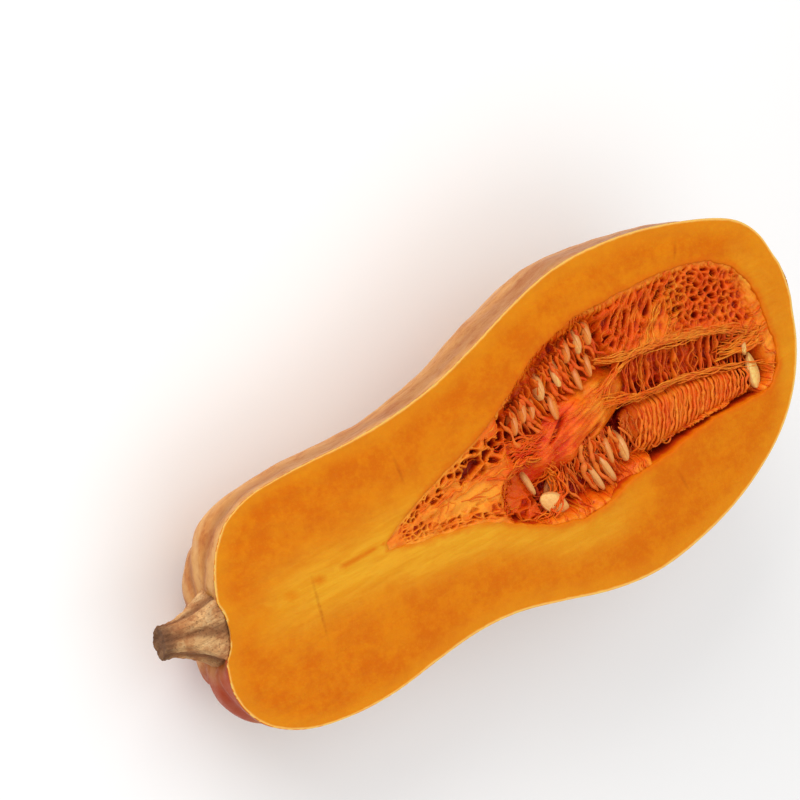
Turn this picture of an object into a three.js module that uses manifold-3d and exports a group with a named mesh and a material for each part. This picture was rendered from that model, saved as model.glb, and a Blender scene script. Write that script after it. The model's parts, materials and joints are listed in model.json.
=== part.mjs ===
// Half of a long-necked pumpkin, cut lengthwise just above its stem, so that the stem stays whole.
//
// The half lies on its rind with the cut face up. Inside the cut face is the seed cavity: a funnel that
// opens from the neck into the bulb. It holds the fibrous pulp (a bed, a core, two long lobes and the
// web in the funnel) and the seeds. Everything inside stays below the cut face.
//
// Millimetres. The fruit is drawn in its own frame: X runs along the axis from the stem end to the
// blossom end, Y across, and Z is square to the cut face, which is the plane z = 0. The whole fruit is
// then pitched about Y until neck and bulb both touch the table, and set down with the middle of its
// box at the origin.

import * as THREE from "three";
import { mergeVertices } from "three/addons/utils/BufferGeometryUtils.js";
import Module from "manifold-3d";

const wasm = await Module();
wasm.setup();

// ---------------------------------------------------------------- driving dimensions

const CUT_ABOVE_AXIS = 9; // the knife passed this far above the fruit's axis
const RIB_COUNT = 10;
const GROOVE_AT_STEM = 4; // depth of the grooves between the ribs, around the stem
const GROOVE_ON_SIDE = 1.5; // along the neck and the bulb
const GROOVE_AT_BLOSSOM = 2.2;
const GROUND_SPOT = 0.8; // how far the rind is flattened where it lay on the ground
const FIT_GAP = 0.4; // between neighbouring pieces
const REST_PITCH = 7; // degrees that the blossom end is raised, so that neck and bulb both touch down

// Radius of the fruit along its axis, as [x, radius].
const FRUIT_PROFILE = [
  [7.5, 8],
  [4, 15],
  [4.5, 23],
  [8, 31.5],
  [15, 39.5],
  [27, 45.5],
  [42, 48],
  [60, 48.4],
  [80, 47],
  [100, 46.6],
  [120, 48.8],
  [140, 54.2],
  [160, 60.5],
  [180, 64.8],
  [198, 65.4],
  [220, 62.6],
  [240, 57.2],
  [260, 48.6],
  [274, 38.5],
  [283, 26],
  [288, 12],
];
const STEM_POLE_X = 8.5; // bottom of the hollow that the stem grows from
const BLOSSOM_POLE_X = 289.5;
const STEM_END_LEAN = 0.28; // the stem end does not face -X squarely: its +Y side is further back

// How far the middle of the fruit wanders sideways along its length, as [x, y].
const FRUIT_BEND = [
  [0, 0.5],
  [25, -3.5],
  [60, -4.5],
  [110, -0.5],
  [160, 1.5],
  [200, 5],
  [240, 9],
  [265, 13.5],
  [289, 22],
];

// The seed cavity along the axis, as [x, middle y, half width, depth].
const CAVITY = [
  [79, 0, 1.5, 2.5],
  [92, 1.7, 5.7, 6],
  [103, 3, 9, 10],
  [122, 4, 14, 15],
  [137, 3, 21, 21],
  [150, 3.5, 27.5, 27],
  [169, 7, 34, 32],
  [189, 12, 34, 36],
  [207, 13.5, 33.5, 37],
  [232, 15.5, 31.5, 36],
  [252, 14, 30, 32],
  [265, 11, 26, 24],
  [271, 9, 18, 14],
];

// ---------------------------------------------------------------- geometry helpers

// Value of a table [[x, a, b...], ...] at x: column c on a smooth curve through the rows.
function along(table, x, c = 1) {
  const last = table.length - 1;
  let i = 0;
  while (i < last - 1 && x > table[i + 1][0]) i += 1;
  const t = THREE.MathUtils.clamp((x - table[i][0]) / (table[i + 1][0] - table[i][0]), 0, 1);
  const slope = (k) => {
    const a = table[Math.max(k - 1, 0)];
    const b = table[Math.min(k + 1, last)];
    return (b[c] - a[c]) / (b[0] - a[0]);
  };
  const step = table[i + 1][0] - table[i][0];
  const t2 = t * t;
  const t3 = t2 * t;
  return (
    (2 * t3 - 3 * t2 + 1) * table[i][c] +
    (t3 - 2 * t2 + t) * step * slope(i) +
    (3 * t2 - 2 * t3) * table[i + 1][c] +
    (t3 - t2) * step * slope(i + 1)
  );
}

// A closed surface through rings of points that run the same way round, closed by a point at each end.
function loft(start, rings, end) {
  const n = rings[0].length;
  const points = [start, ...rings.flat(), end];
  const at = (ring, k) => 1 + ring * n + (k % n);
  const faces = [];
  for (let k = 0; k < n; k += 1) {
    faces.push(0, at(0, k + 1), at(0, k));
    for (let r = 0; r < rings.length - 1; r += 1) {
      faces.push(at(r, k), at(r, k + 1), at(r + 1, k + 1));
      faces.push(at(r, k), at(r + 1, k + 1), at(r + 1, k));
    }
    faces.push(points.length - 1, at(rings.length - 1, k), at(rings.length - 1, k + 1));
  }
  const geometry = new THREE.BufferGeometry().setFromPoints(points);
  geometry.setIndex(faces);
  return geometry;
}

// The solid that a closed geometry bounds, turned right side out if need be.
function solidOf(geometry) {
  const bare = geometry.clone();
  bare.deleteAttribute("normal");
  bare.deleteAttribute("uv");
  const merged = mergeVertices(bare, 1e-4);
  const triVerts = new Uint32Array(merged.index.array);
  const build = () =>
    new wasm.Manifold(
      new wasm.Mesh({ numProp: 3, vertProperties: merged.attributes.position.array, triVerts }),
    );
  const solid = build();
  if (solid.volume() > 0) return solid;
  for (let i = 0; i < triVerts.length; i += 3) {
    [triVerts[i + 1], triVerts[i + 2]] = [triVerts[i + 2], triVerts[i + 1]];
  }
  return build();
}

function geometryOf(solid) {
  const mesh = solid.getMesh();
  const geometry = new THREE.BufferGeometry();
  geometry.setAttribute("position", new THREE.BufferAttribute(new Float32Array(mesh.vertProperties), 3));
  geometry.setIndex(new THREE.BufferAttribute(mesh.triVerts, 1));
  const faceted = geometry.toNonIndexed();
  faceted.computeVertexNormals();
  return faceted;
}

function boxSolid(low, high) {
  const size = new THREE.Vector3().subVectors(high, low);
  const box = new THREE.BoxGeometry(size.x, size.y, size.z);
  box.translate((low.x + high.x) / 2, (low.y + high.y) / 2, (low.z + high.z) / 2);
  return solidOf(box);
}

const REACH = 400; // larger than the fruit
const BELOW_CUT = boxSolid(new THREE.Vector3(-REACH, -REACH, -REACH), new THREE.Vector3(REACH, REACH, 0));

// ---------------------------------------------------------------- the fruit

// 1 in the middle of a groove and 0 on a rib. A rib lies at the very bottom.
function groove(angle) {
  return Math.abs(Math.sin((RIB_COUNT / 2) * (angle + Math.PI / 2))) ** 2.2;
}

function grooveDepth(x) {
  const nearStem = Math.exp(-Math.max(x, 0) / 26);
  const nearBlossom = Math.exp(-Math.max(BLOSSOM_POLE_X - x, 0) / 22);
  const extraAtStem = (GROOVE_AT_STEM - GROOVE_ON_SIDE) * nearStem;
  const extraAtBlossom = (GROOVE_AT_BLOSSOM - GROOVE_ON_SIDE) * nearBlossom;
  return GROOVE_ON_SIDE + extraAtStem + extraAtBlossom;
}

function leanAt(x) {
  return STEM_END_LEAN * Math.exp(-Math.max(x, 0) / 28);
}

function fruitPoint(x, radius, angle) {
  const fade = Math.min(1, radius / 22); // grooves run out at the poles
  const r = radius - grooveDepth(x) * fade * groove(angle);
  return new THREE.Vector3(
    x + leanAt(x) * r * Math.cos(angle),
    along(FRUIT_BEND, x) + r * Math.cos(angle),
    -CUT_ABOVE_AXIS + r * Math.sin(angle),
  );
}

function fruitSolid() {
  const RINGS = 34;
  const AROUND = 60;
  const profile = new THREE.SplineCurve(FRUIT_PROFILE.map(([x, r]) => new THREE.Vector2(x, r)));
  const rings = [];
  for (let i = 0; i <= RINGS; i += 1) {
    const { x, y: radius } = profile.getPoint(i / RINGS);
    const ring = [];
    for (let k = 0; k < AROUND; k += 1) ring.push(fruitPoint(x, radius, (2 * Math.PI * k) / AROUND));
    rings.push(ring);
  }
  const pole = (x) => new THREE.Vector3(x, along(FRUIT_BEND, x), -CUT_ABOVE_AXIS);
  return solidOf(loft(pole(STEM_POLE_X), rings, pole(BLOSSOM_POLE_X)));
}

// The ground that a resting solid sinks into by the depth of its ground spot.
function groundUnder(solid) {
  const lowest = solid.rotate([0, -REST_PITCH, 0]).boundingBox().min[2];
  const ground = new THREE.BoxGeometry(2 * REACH, 2 * REACH, REACH);
  ground.translate(0, 0, lowest + GROUND_SPOT - REACH / 2);
  return solidOf(ground.rotateY(THREE.MathUtils.degToRad(REST_PITCH)));
}

// The cavity, taken in by inset on every side. It runs up through the cut face.
function cavitySolid(inset) {
  const AROUND = 14;
  const rings = CAVITY.map(([x, middle, half, depth], i) => {
    const ring = [];
    const width = Math.max(half - inset, 0.5);
    const drop = Math.max(depth - inset, 0.5);
    const first = i === 0 ? inset : 0;
    const final = i === CAVITY.length - 1 ? inset : 0;
    for (let k = 0; k <= AROUND; k += 1) {
      const a = (Math.PI * k) / AROUND;
      ring.push(new THREE.Vector3(x + first - final, middle + width * Math.cos(a), -drop * Math.sin(a)));
    }
    ring.push(new THREE.Vector3(x + first - final, middle - width, 6));
    ring.push(new THREE.Vector3(x + first - final, middle + width, 6));
    return ring;
  });
  const centre = (ring) => ring.reduce((sum, p) => sum.add(p), new THREE.Vector3()).divideScalar(ring.length);
  return solidOf(loft(centre(rings[0]), rings, centre(rings.at(-1))));
}

// ---------------------------------------------------------------- pulp

// A long lobe of pulp, as [x, middle y, half width, top z, bottom z] along the fruit's axis.
function lobeSolid(stations) {
  const AROUND = 12;
  const rings = stations.map(([x, middle, half, top, bottom]) => {
    const ring = [];
    for (let k = 0; k < AROUND; k += 1) {
      const a = (2 * Math.PI * k) / AROUND;
      const z = (top + bottom) / 2 + ((top - bottom) / 2) * Math.sin(a);
      ring.push(new THREE.Vector3(x, middle + half * Math.cos(a), z));
    }
    return ring;
  });
  const cap = (row, dx) => new THREE.Vector3(row[0] + dx, row[1], (row[3] + row[4]) / 2);
  return solidOf(loft(cap(stations[0], -1.5), rings, cap(stations.at(-1), 1.5)));
}

const PULP_TOP = -0.8; // the pulp stays this far below the cut face

const PULP_LOBES = {
  pulp_neck_web: [
    [84, 1, 2.4, PULP_TOP, -4],
    [97, 2.5, 5.5, PULP_TOP, -8],
    [112, 4, 10, PULP_TOP - 0.2, -12],
    [127, 4, 14, PULP_TOP - 0.6, -17],
    [136, 3.5, 16, -2.4, -18],
    [141, 3, 14, -5, -17],
  ],
  pulp_core: [
    [156, 6, 5, -7, -17],
    [163, 6.5, 9.5, -3.5, -19],
    [175, 9, 13, -2, -20],
    [186, 9.5, 13, -1.6, -20],
    [195, 11, 9, -3, -19],
    [200, 11, 5, -6, -17],
  ],
  pulp_upper_lobe: [
    [197, 33, 8, -6, -17],
    [207, 33, 10.5, -3, -20],
    [228, 32, 12, -2.2, -22],
    [248, 28.5, 13, -2, -22],
    [262, 23, 12, -2.4, -18],
    [267, 19, 8.5, -4, -12],
  ],
  pulp_lower_lobe: [
    [199, -7, 5, -5, -15],
    [208, -8.5, 8.5, -2.5, -18],
    [228, -6.5, 8.5, -1.8, -19],
    [243, -7, 7.5, -1.8, -18],
    [252, -7.5, 5, -3, -14],
  ],
};

const BED_TOP = -20.5; // the bed of pulp fills the cavity up to here
const BED_START_X = 144;

// ---------------------------------------------------------------- seeds

const SEED_LENGTH = 15;
const SEED_WIDTH = 8.6;
const SEED_THICKNESS = 3.2;

// A pumpkin seed: flat, egg-shaped with a pointed tip at -X. grow makes it larger all round.
function seedGeometry(grow = 0) {
  const AROUND = 8;
  const STATIONS = [0.06, 0.2, 0.42, 0.66, 0.86, 0.97];
  const length = SEED_LENGTH + 2 * grow;
  const outline = (s) => Math.sin(Math.PI * s ** 0.8) ** 0.75;
  const rings = STATIONS.map((s) => {
    const ring = [];
    for (let k = 0; k < AROUND; k += 1) {
      const a = (2 * Math.PI * k) / AROUND;
      ring.push(
        new THREE.Vector3(
          (s - 0.5) * length,
          (SEED_WIDTH / 2 + grow) * outline(s) * Math.cos(a),
          (SEED_THICKNESS / 2 + grow) * outline(s) ** 0.7 * Math.sin(a),
        ),
      );
    }
    return ring;
  });
  return loft(new THREE.Vector3(-length / 2, 0, 0), rings, new THREE.Vector3(length / 2, 0, 0));
}

// Where each seed lies: [x, y, z] of its middle, then its heading about Z, how far its tip dips, and its
// roll about its own length, in degrees. A roll of 90 stands the seed on its edge.
const SEEDS = [
  // the row along the near side of the bulb, most of them on edge between flesh and core
  [150, 19.5, -8, 62, 50, 80],
  [155, 22.5, -7.8, 64, 50, 84],
  [160, 21.5, -9, 58, 48, 78],
  [166, 27.5, -7.6, 66, 48, 82],
  [169.5, 18.5, -6.5, 60, 35, 40],
  [176, 29.5, -7.4, 60, 36, 36],
  [182.5, 36, -7.8, 66, 52, 84],
  [184, 24.5, -7.2, 66, 40, 50],
  [188.5, 37.5, -7.6, 72, 48, 84],
  [190.5, 27, -8.5, 66, 46, 70],
  [194, 39, -7.6, 74, 48, 84],
  // in the well beside the core
  [148.5, -4.5, -10.5, 85, 35, 60],
  [155, -17.5, -6.5, -42, 8, 16],
  [161, -11, -14, 30, 20, 40],
  // hanging below the core
  [176.5, -15, -8, 97, 20, 70],
  [182.5, -14, -7.8, 100, 16, 76],
  [186.5, -7.5, -8, 70, 35, 60],
  [192.5, -9.5, -8, 75, 38, 78],
  // at the blossom end
  [261.5, -7, -5.2, 74, 12, 25],
  [264, 4, -8.2, 20, 48, 30],
];

// ---------------------------------------------------------------- stem

const STEM_LENGTH = 24;
const STEM_RIDGES = 5;

// The stem leaves the fruit along -X: a foot that flares over the rind, five ridges, and a stub that
// thickens again where it was broken from the vine. Stations are [distance, radius, ridge height].
const STEM_STATIONS = [
  [0, 15.6, 3.4],
  [2, 15.2, 3.3],
  [5, 13.2, 3],
  [9, 10.6, 2.4],
  [13, 8.4, 1.8],
  [17.5, 6.8, 1.3],
  [22, 6.3, 1],
  [STEM_LENGTH, 5.9, 0.8],
];
const STEM_RISE = 1.5; // the stub curves up by this much at its end, and drifts sideways all along
const STEM_DRIFT = 5;
const STEM_FOOT_X = 7;

function stemSolid() {
  const AROUND = 30;
  const rings = STEM_STATIONS.map(([distance, radius, ridge]) => {
    const share = distance / STEM_LENGTH;
    const ring = [];
    for (let k = 0; k < AROUND; k += 1) {
      const a = (2 * Math.PI * k) / AROUND;
      const r = radius - ridge * (0.5 - 0.5 * Math.cos(STEM_RIDGES * (a + Math.PI / 2)));
      ring.push(
        new THREE.Vector3(
          STEM_FOOT_X - distance + leanAt(0) * r * Math.cos(a),
          along(FRUIT_BEND, 0) + STEM_DRIFT * share + r * Math.cos(a),
          -CUT_ABOVE_AXIS + STEM_RISE * share ** 2 + r * Math.sin(a),
        ),
      );
    }
    return ring;
  });
  const middle = (ring, dx) =>
    ring
      .reduce((sum, p) => sum.add(p), new THREE.Vector3())
      .divideScalar(ring.length)
      .add(new THREE.Vector3(dx, 0, 0));
  return solidOf(loft(middle(rings[0], 0), rings, middle(rings.at(-1), -0.8)));
}

// ---------------------------------------------------------------- assembly

const MATERIALS = {
  flesh: new THREE.MeshStandardMaterial({ color: 0xe88a12, roughness: 0.45, metalness: 0 }),
  stem: new THREE.MeshStandardMaterial({ color: 0xb08d62, roughness: 0.85, metalness: 0 }),
  pulp: new THREE.MeshStandardMaterial({ color: 0xe05a12, roughness: 0.4, metalness: 0 }),
  seed: new THREE.MeshStandardMaterial({ color: 0xe9c58e, roughness: 0.5, metalness: 0 }),
};

const fruit = new THREE.Group();

function addPiece(name, geometry, material) {
  const mesh = new THREE.Mesh(geometry, MATERIALS[material]);
  mesh.name = name;
  fruit.add(mesh);
  return mesh;
}

const seeds = SEEDS.map(([x, y, z, heading, dip, roll]) => {
  const turn = new THREE.Euler(
    THREE.MathUtils.degToRad(roll),
    THREE.MathUtils.degToRad(dip),
    THREE.MathUtils.degToRad(heading),
    "ZYX",
  );
  const place = new THREE.Matrix4().makeRotationFromEuler(turn).setPosition(x, y, z);
  return {
    solid: solidOf(seedGeometry().applyMatrix4(place)),
    pocket: solidOf(seedGeometry(FIT_GAP).applyMatrix4(place)),
  };
});

const wholeFruit = fruitSolid();
const stem = stemSolid();
// The stem's foot lies over the rind: what the fruit already fills is taken off it, with a gap.
const fruitGrown = fruitSolid().translate([-FIT_GAP, 0, 0]);
const flesh = wholeFruit.intersect(BELOW_CUT).subtract(cavitySolid(0)).subtract(groundUnder(wholeFruit));
addPiece("flesh_and_rind", geometryOf(flesh), "flesh");
const stub = stem.subtract(fruitGrown).subtract(wholeFruit).intersect(BELOW_CUT);
addPiece("stem", geometryOf(stub), "stem");

const inside = cavitySolid(FIT_GAP).intersect(BELOW_CUT);
const bedSpace = boxSolid(
  new THREE.Vector3(BED_START_X, -REACH, -REACH),
  new THREE.Vector3(REACH, REACH, BED_TOP),
);
const bed = inside.intersect(bedSpace);
addPiece("pulp_bed", geometryOf(bed), "pulp");

const aboveBed = boxSolid(
  new THREE.Vector3(BED_START_X - FIT_GAP, -REACH, -REACH),
  new THREE.Vector3(REACH, REACH, BED_TOP + FIT_GAP),
);
for (const [name, stations] of Object.entries(PULP_LOBES)) {
  let lobe = lobeSolid(stations).intersect(inside).subtract(aboveBed);
  for (const seed of seeds) lobe = lobe.subtract(seed.pocket);
  addPiece(name, geometryOf(lobe), "pulp");
}

seeds.forEach((seed, i) => {
  addPiece(`seed_${String(i + 1).padStart(2, "0")}`, geometryOf(seed.solid), "seed");
});

// ---------------------------------------------------------------- rest

const halfPumpkin = new THREE.Group();
fruit.rotation.y = THREE.MathUtils.degToRad(-REST_PITCH);
halfPumpkin.add(fruit);
halfPumpkin.updateMatrixWorld(true);
const box = new THREE.Box3().setFromObject(halfPumpkin, true);
fruit.position.set(-(box.min.x + box.max.x) / 2, -(box.min.y + box.max.y) / 2, -box.min.z);

export default halfPumpkin;
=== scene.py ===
import json
import math

import bmesh
import bpy
import numpy as np
from mathutils import Matrix, Vector


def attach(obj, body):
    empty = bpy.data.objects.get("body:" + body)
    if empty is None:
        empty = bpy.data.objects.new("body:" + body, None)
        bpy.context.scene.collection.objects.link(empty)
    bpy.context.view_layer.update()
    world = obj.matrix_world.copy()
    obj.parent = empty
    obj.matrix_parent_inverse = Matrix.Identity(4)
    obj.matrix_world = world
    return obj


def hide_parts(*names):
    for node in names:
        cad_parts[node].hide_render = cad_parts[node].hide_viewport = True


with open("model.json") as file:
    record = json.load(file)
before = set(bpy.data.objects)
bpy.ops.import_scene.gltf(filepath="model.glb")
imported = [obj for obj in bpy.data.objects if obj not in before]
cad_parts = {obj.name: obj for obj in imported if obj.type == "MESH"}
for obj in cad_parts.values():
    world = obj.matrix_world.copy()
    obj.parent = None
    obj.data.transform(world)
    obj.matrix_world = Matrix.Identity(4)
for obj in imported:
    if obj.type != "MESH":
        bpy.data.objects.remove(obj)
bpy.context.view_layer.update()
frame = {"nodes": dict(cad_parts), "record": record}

# Half of a long-necked pumpkin, cut lengthwise, resting on its rind with the cut face up.
#
# Shapes are made in the fruit's own frame, in millimetres: X along the axis from the stem end to the
# blossom end, Y across, Z square to the cut face, which is z = 0. The record's cut_face mount says where
# that frame lies in the row frame.

# ------------------------------------------------------------------ the fruit's frame

CUT_FACE = next(m for m in frame["record"]["mounts"] if m["name"] == "cut_face")
CUT_FACE_POINT = np.array([40.0, -5.0, 0.0])  # the mount's point in the fruit's frame
PITCH = math.asin(-CUT_FACE["axis"][0])
FRUIT_AXES = np.array(
    [
        [math.cos(PITCH), 0.0, -math.sin(PITCH)],
        [0.0, 1.0, 0.0],
        [math.sin(PITCH), 0.0, math.cos(PITCH)],
    ]
)


def to_row(points):
    """Fruit frame in millimetres to row frame in metres."""
    return (np.asarray(points, float) - CUT_FACE_POINT) @ FRUIT_AXES.T / 1000 + np.array(CUT_FACE["pos_m"])


def to_fruit(points):
    """Row frame in metres to fruit frame in millimetres."""
    return (np.asarray(points, float) - np.array(CUT_FACE["pos_m"])) * 1000 @ FRUIT_AXES + CUT_FACE_POINT


# ------------------------------------------------------------------ driving shapes

CUT_ABOVE_AXIS = 9.0
RIB_COUNT = 10
GROOVE_AT_STEM = 4.0
GROOVE_ON_SIDE = 1.5
GROOVE_AT_BLOSSOM = 2.2
STEM_END_LEAN = 0.28
STEM_POLE_X = 8.5
BLOSSOM_POLE_X = 289.5

# Radius of the fruit along its axis, as (x, radius).
FRUIT_PROFILE = [
    (7.5, 8), (4, 15), (4.5, 23), (8, 31.5), (15, 39.5), (27, 45.5), (42, 48), (60, 48.4), (80, 47),
    (100, 46.6), (120, 48.8), (140, 54.2), (160, 60.5), (180, 64.8), (198, 65.4), (220, 62.6),
    (240, 57.2), (260, 48.6), (274, 38.5), (283, 26), (288, 12),
]

# Sideways bend of the fruit, as (x, y).
FRUIT_BEND = [
    (0, 0.5), (25, -3.5), (60, -4.5), (110, -0.5), (160, 1.5), (200, 5), (240, 9), (265, 13.5), (289, 22),
]

# The seed cavity, as (x, middle y, half width, depth).
CAVITY = [
    (79, 0, 1.5, 2.5), (92, 1.7, 5.7, 6), (103, 3, 9, 10), (122, 4, 14, 15), (137, 3, 21, 21),
    (150, 3.5, 27.5, 27), (169, 7, 34, 32), (189, 12, 34, 36), (207, 13.5, 33.5, 37),
    (232, 15.5, 31.5, 36), (252, 14, 30, 32), (265, 11, 26, 24), (271, 9, 18, 14),
]
CAVITY_START, CAVITY_END = CAVITY[0][0], CAVITY[-1][0]

# ------------------------------------------------------------------ small tools

WELD = 2e-6  # metres within which two points of one skin are joined
SEED_WELD = 1e-6


def along(table, x, column=1):
    """Smooth value of a table's column at each x."""
    rows = np.array(table, float)
    xs, values = rows[:, 0], rows[:, column]
    x = np.clip(np.asarray(x, float), xs[0], xs[-1])
    i = np.clip(np.searchsorted(xs, x, side="right") - 1, 0, len(xs) - 2)
    step = xs[i + 1] - xs[i]
    t = (x - xs[i]) / step
    before, after = np.maximum(i - 1, 0), np.minimum(i + 2, len(xs) - 1)
    slope_a = (values[i + 1] - values[before]) / (xs[i + 1] - xs[before])
    slope_b = (values[after] - values[i]) / (xs[after] - xs[i])
    t2, t3 = t * t, t * t * t
    return (
        (2 * t3 - 3 * t2 + 1) * values[i]
        + (t3 - 2 * t2 + t) * step * slope_a
        + (3 * t2 - 2 * t3) * values[i + 1]
        + (t3 - t2) * step * slope_b
    )


def spline(points, count):
    """Evenly stepped points on a smooth curve through the given ones."""
    p = np.array(points, float)
    t = np.linspace(0, len(p) - 1, count)
    i = np.clip(t.astype(int), 0, len(p) - 2)
    f = (t - i)[:, None]
    a, b = p[np.maximum(i - 1, 0)], p[i]
    c, d = p[i + 1], p[np.minimum(i + 2, len(p) - 1)]
    return 0.5 * (2 * b + (c - a) * f + (2 * a - 5 * b + 4 * c - d) * f**2 + (3 * b - a - 3 * c + d) * f**3)


def smooth_step(low, high, value):
    t = np.clip((np.asarray(value, float) - low) / (high - low), 0, 1)
    return t * t * (3 - 2 * t)


def ripple(points, size, seed, waves=12):
    """A smooth random field over points, about -1 to 1, with bumps about size millimetres across."""
    rng = np.random.default_rng(seed)
    p = np.atleast_2d(np.asarray(points, float))
    directions = rng.normal(size=(waves, p.shape[1]))
    directions /= np.linalg.norm(directions, axis=1)[:, None]
    rate = 2 * math.pi / (size * rng.uniform(1.2, 2.6, waves))
    phase = rng.uniform(0, 2 * math.pi, waves)
    return np.sin((p @ directions.T) * rate + phase).sum(1) / math.sqrt(waves)


def ripple_at(x, y, size, seed):
    """The same field over x and y, in the shape of x."""
    return ripple(np.stack([x, y], -1).reshape(-1, 2), size, seed).reshape(x.shape)


def normals_of(grid):
    """Unit normals of a grid of points."""
    du = np.gradient(grid, axis=0)
    dv = np.gradient(grid, axis=1)
    n = np.cross(du, dv)
    return n / np.maximum(np.linalg.norm(n, axis=2, keepdims=True), 1e-9)


class Shell:
    """Collects points, faces, a material number per face and named values per point of one piece."""

    def __init__(self, *values):
        self.points, self.faces, self.materials = [], [], []
        self.values = {name: [] for name in values}
        self.count = 0

    def add(self, points, faces, material=0, **values):
        points = np.asarray(points, float).reshape(-1, 3)
        faces = np.asarray(faces, int)
        self.points.append(points)
        self.faces += (faces + self.count).tolist()
        self.materials += [material] * len(faces)
        for name, collected in self.values.items():
            value = np.asarray(values.get(name, 0.0), float).ravel()
            collected.append(np.broadcast_to(value, (len(points),)))
        self.count += len(points)

    def grid(self, grid, material=0, around=False, flip=False, **values):
        """A sheet of points [u][v]. around closes it in v."""
        nu, nv = grid.shape[:2]
        u, v = np.meshgrid(np.arange(nu - 1), np.arange(nv if around else nv - 1), indexing="ij")
        u, v = u.ravel(), v.ravel()
        w = (v + 1) % nv
        quads = np.stack([u * nv + v, (u + 1) * nv + v, (u + 1) * nv + w, u * nv + w], 1)
        self.add(grid, quads[:, ::-1] if flip else quads, material, **values)

    def close(self, size, start):
        """Closes a tube: a flat end on its last ring of size points, and one on its first, from start."""
        last = self.count - size
        self.faces.append([start + i for i in range(size)])
        self.faces.append([last + i for i in reversed(range(size))])
        self.materials += [0, 0]

    def tube(self, path, radius, sides=6, tall=1.0, **values):
        """A closed, tapering strand along a path, with a radius at each point. tall makes it a wall."""
        path = np.asarray(path, float)
        radius = np.broadcast_to(np.asarray(radius, float), (len(path),))
        ahead = np.gradient(path, axis=0)
        ahead /= np.maximum(np.linalg.norm(ahead, axis=1, keepdims=True), 1e-9)
        side = np.cross(ahead, [0.13, 0.21, 1.0])
        side /= np.maximum(np.linalg.norm(side, axis=1, keepdims=True), 1e-9)
        over = np.cross(side, ahead)
        a = np.arange(sides) * 2 * math.pi / sides
        ring = side[:, None] * np.cos(a)[None, :, None] + over[:, None] * np.sin(a)[None, :, None] * tall
        points = path[:, None] + ring * radius[:, None, None]
        start = self.count
        self.grid(points, around=True, **values)
        self.close(sides, start)

    def build(self, name, materials, nodes, slot, weld=None):
        """Makes the piece, in the row frame, in place of the nodes named."""
        mesh = bpy.data.meshes.new(name)
        mesh.from_pydata(to_row(np.concatenate(self.points)).tolist(), [], self.faces)
        for material in materials:
            mesh.materials.append(material)
        mesh.polygons.foreach_set("material_index", self.materials)
        mesh.polygons.foreach_set("use_smooth", [True] * len(mesh.polygons))
        for value, collected in self.values.items():
            layer = mesh.attributes.new(value, "FLOAT", "POINT")
            layer.data.foreach_set("value", np.concatenate(collected).astype(np.float32))
        mesh.update()
        piece = bpy.data.objects.new(name, mesh)
        bpy.context.scene.collection.objects.link(piece)
        if weld:
            weld_points(mesh, weld)
        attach(piece, "root")
        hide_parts(*nodes)
        return piece


def weld_points(mesh, distance):
    work = bmesh.new()
    work.from_mesh(mesh)
    bmesh.ops.remove_doubles(work, verts=work.verts, dist=distance)
    bmesh.ops.recalc_face_normals(work, faces=work.faces)
    work.to_mesh(mesh)
    work.free()
    mesh.update()


# ------------------------------------------------------------------ shader tools


def srgb(red, green, blue):
    """A colour given in 0 to 255, as the linear colour that shaders take."""
    channels = [c / 255 for c in (red, green, blue)]
    return tuple(c / 12.92 if c <= 0.04045 else ((c + 0.055) / 1.055) ** 2.4 for c in channels) + (1.0,)


class Graph:
    """Short words for building a node tree."""

    def __init__(self, tree):
        self.tree = tree

    def node(self, kind, **settings):
        made = self.tree.nodes.new("ShaderNode" + kind)
        for name, value in settings.items():
            setattr(made, name, value)
        return made

    def feed(self, socket, source):
        if isinstance(source, bpy.types.NodeSocket):
            self.tree.links.new(source, socket)
        elif source is not None:
            socket.default_value = source

    def fill(self, made, **inputs):
        """Feeds a node's inputs by name, with _ for a space, and gives its outputs."""
        for name, source in inputs.items():
            self.feed(made.inputs[name.replace("_", " ")], source)
        return made.outputs

    def position(self):
        return self.node("TexCoord").outputs["Object"]

    def value(self, name):
        return self.node("Attribute", attribute_name=name).outputs["Fac"]

    def stretched(self, vector, scale):
        return self.fill(self.node("Mapping"), Vector=vector, Scale=scale)["Vector"]

    def noise(self, vector, scale, detail=3.0, rough=0.55, twist=0.0):
        made = self.node("TexNoise")
        self.fill(made, Vector=vector, Scale=scale, Detail=detail, Roughness=rough, Distortion=twist)
        return made.outputs["Fac"]

    def cells(self, vector, scale):
        return self.fill(self.node("TexVoronoi"), Vector=vector, Scale=scale)["Distance"]

    def maths(self, operation, a, b):
        made = self.node("Math", operation=operation)
        self.feed(made.inputs[0], a)
        self.feed(made.inputs[1], b)
        return made.outputs[0]

    def spread(self, value, low, high, to_low=0.0, to_high=1.0):
        """value from low..high to to_low..to_high, smoothly and clamped."""
        made = self.node("MapRange", interpolation_type="SMOOTHSTEP")
        self.fill(made, Value=value, From_Min=low, From_Max=high, To_Min=to_low, To_Max=to_high)
        return made.outputs["Result"]

    def mix(self, share, a, b):
        made = self.node("Mix", data_type="RGBA")
        for index, source in ((0, share), (6, a), (7, b)):
            self.feed(made.inputs[index], source)
        return made.outputs[2]

    def tint(self, colour, value, low, high, most, other):
        """colour turning by up to most into other, given in 0 to 255, as value goes from low to high."""
        return self.mix(self.spread(value, low, high, 0.0, most), colour, srgb(*other))

    def use(self, group, output, **inputs):
        return self.fill(self.node("Group", node_tree=group), **inputs)[output]


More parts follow.
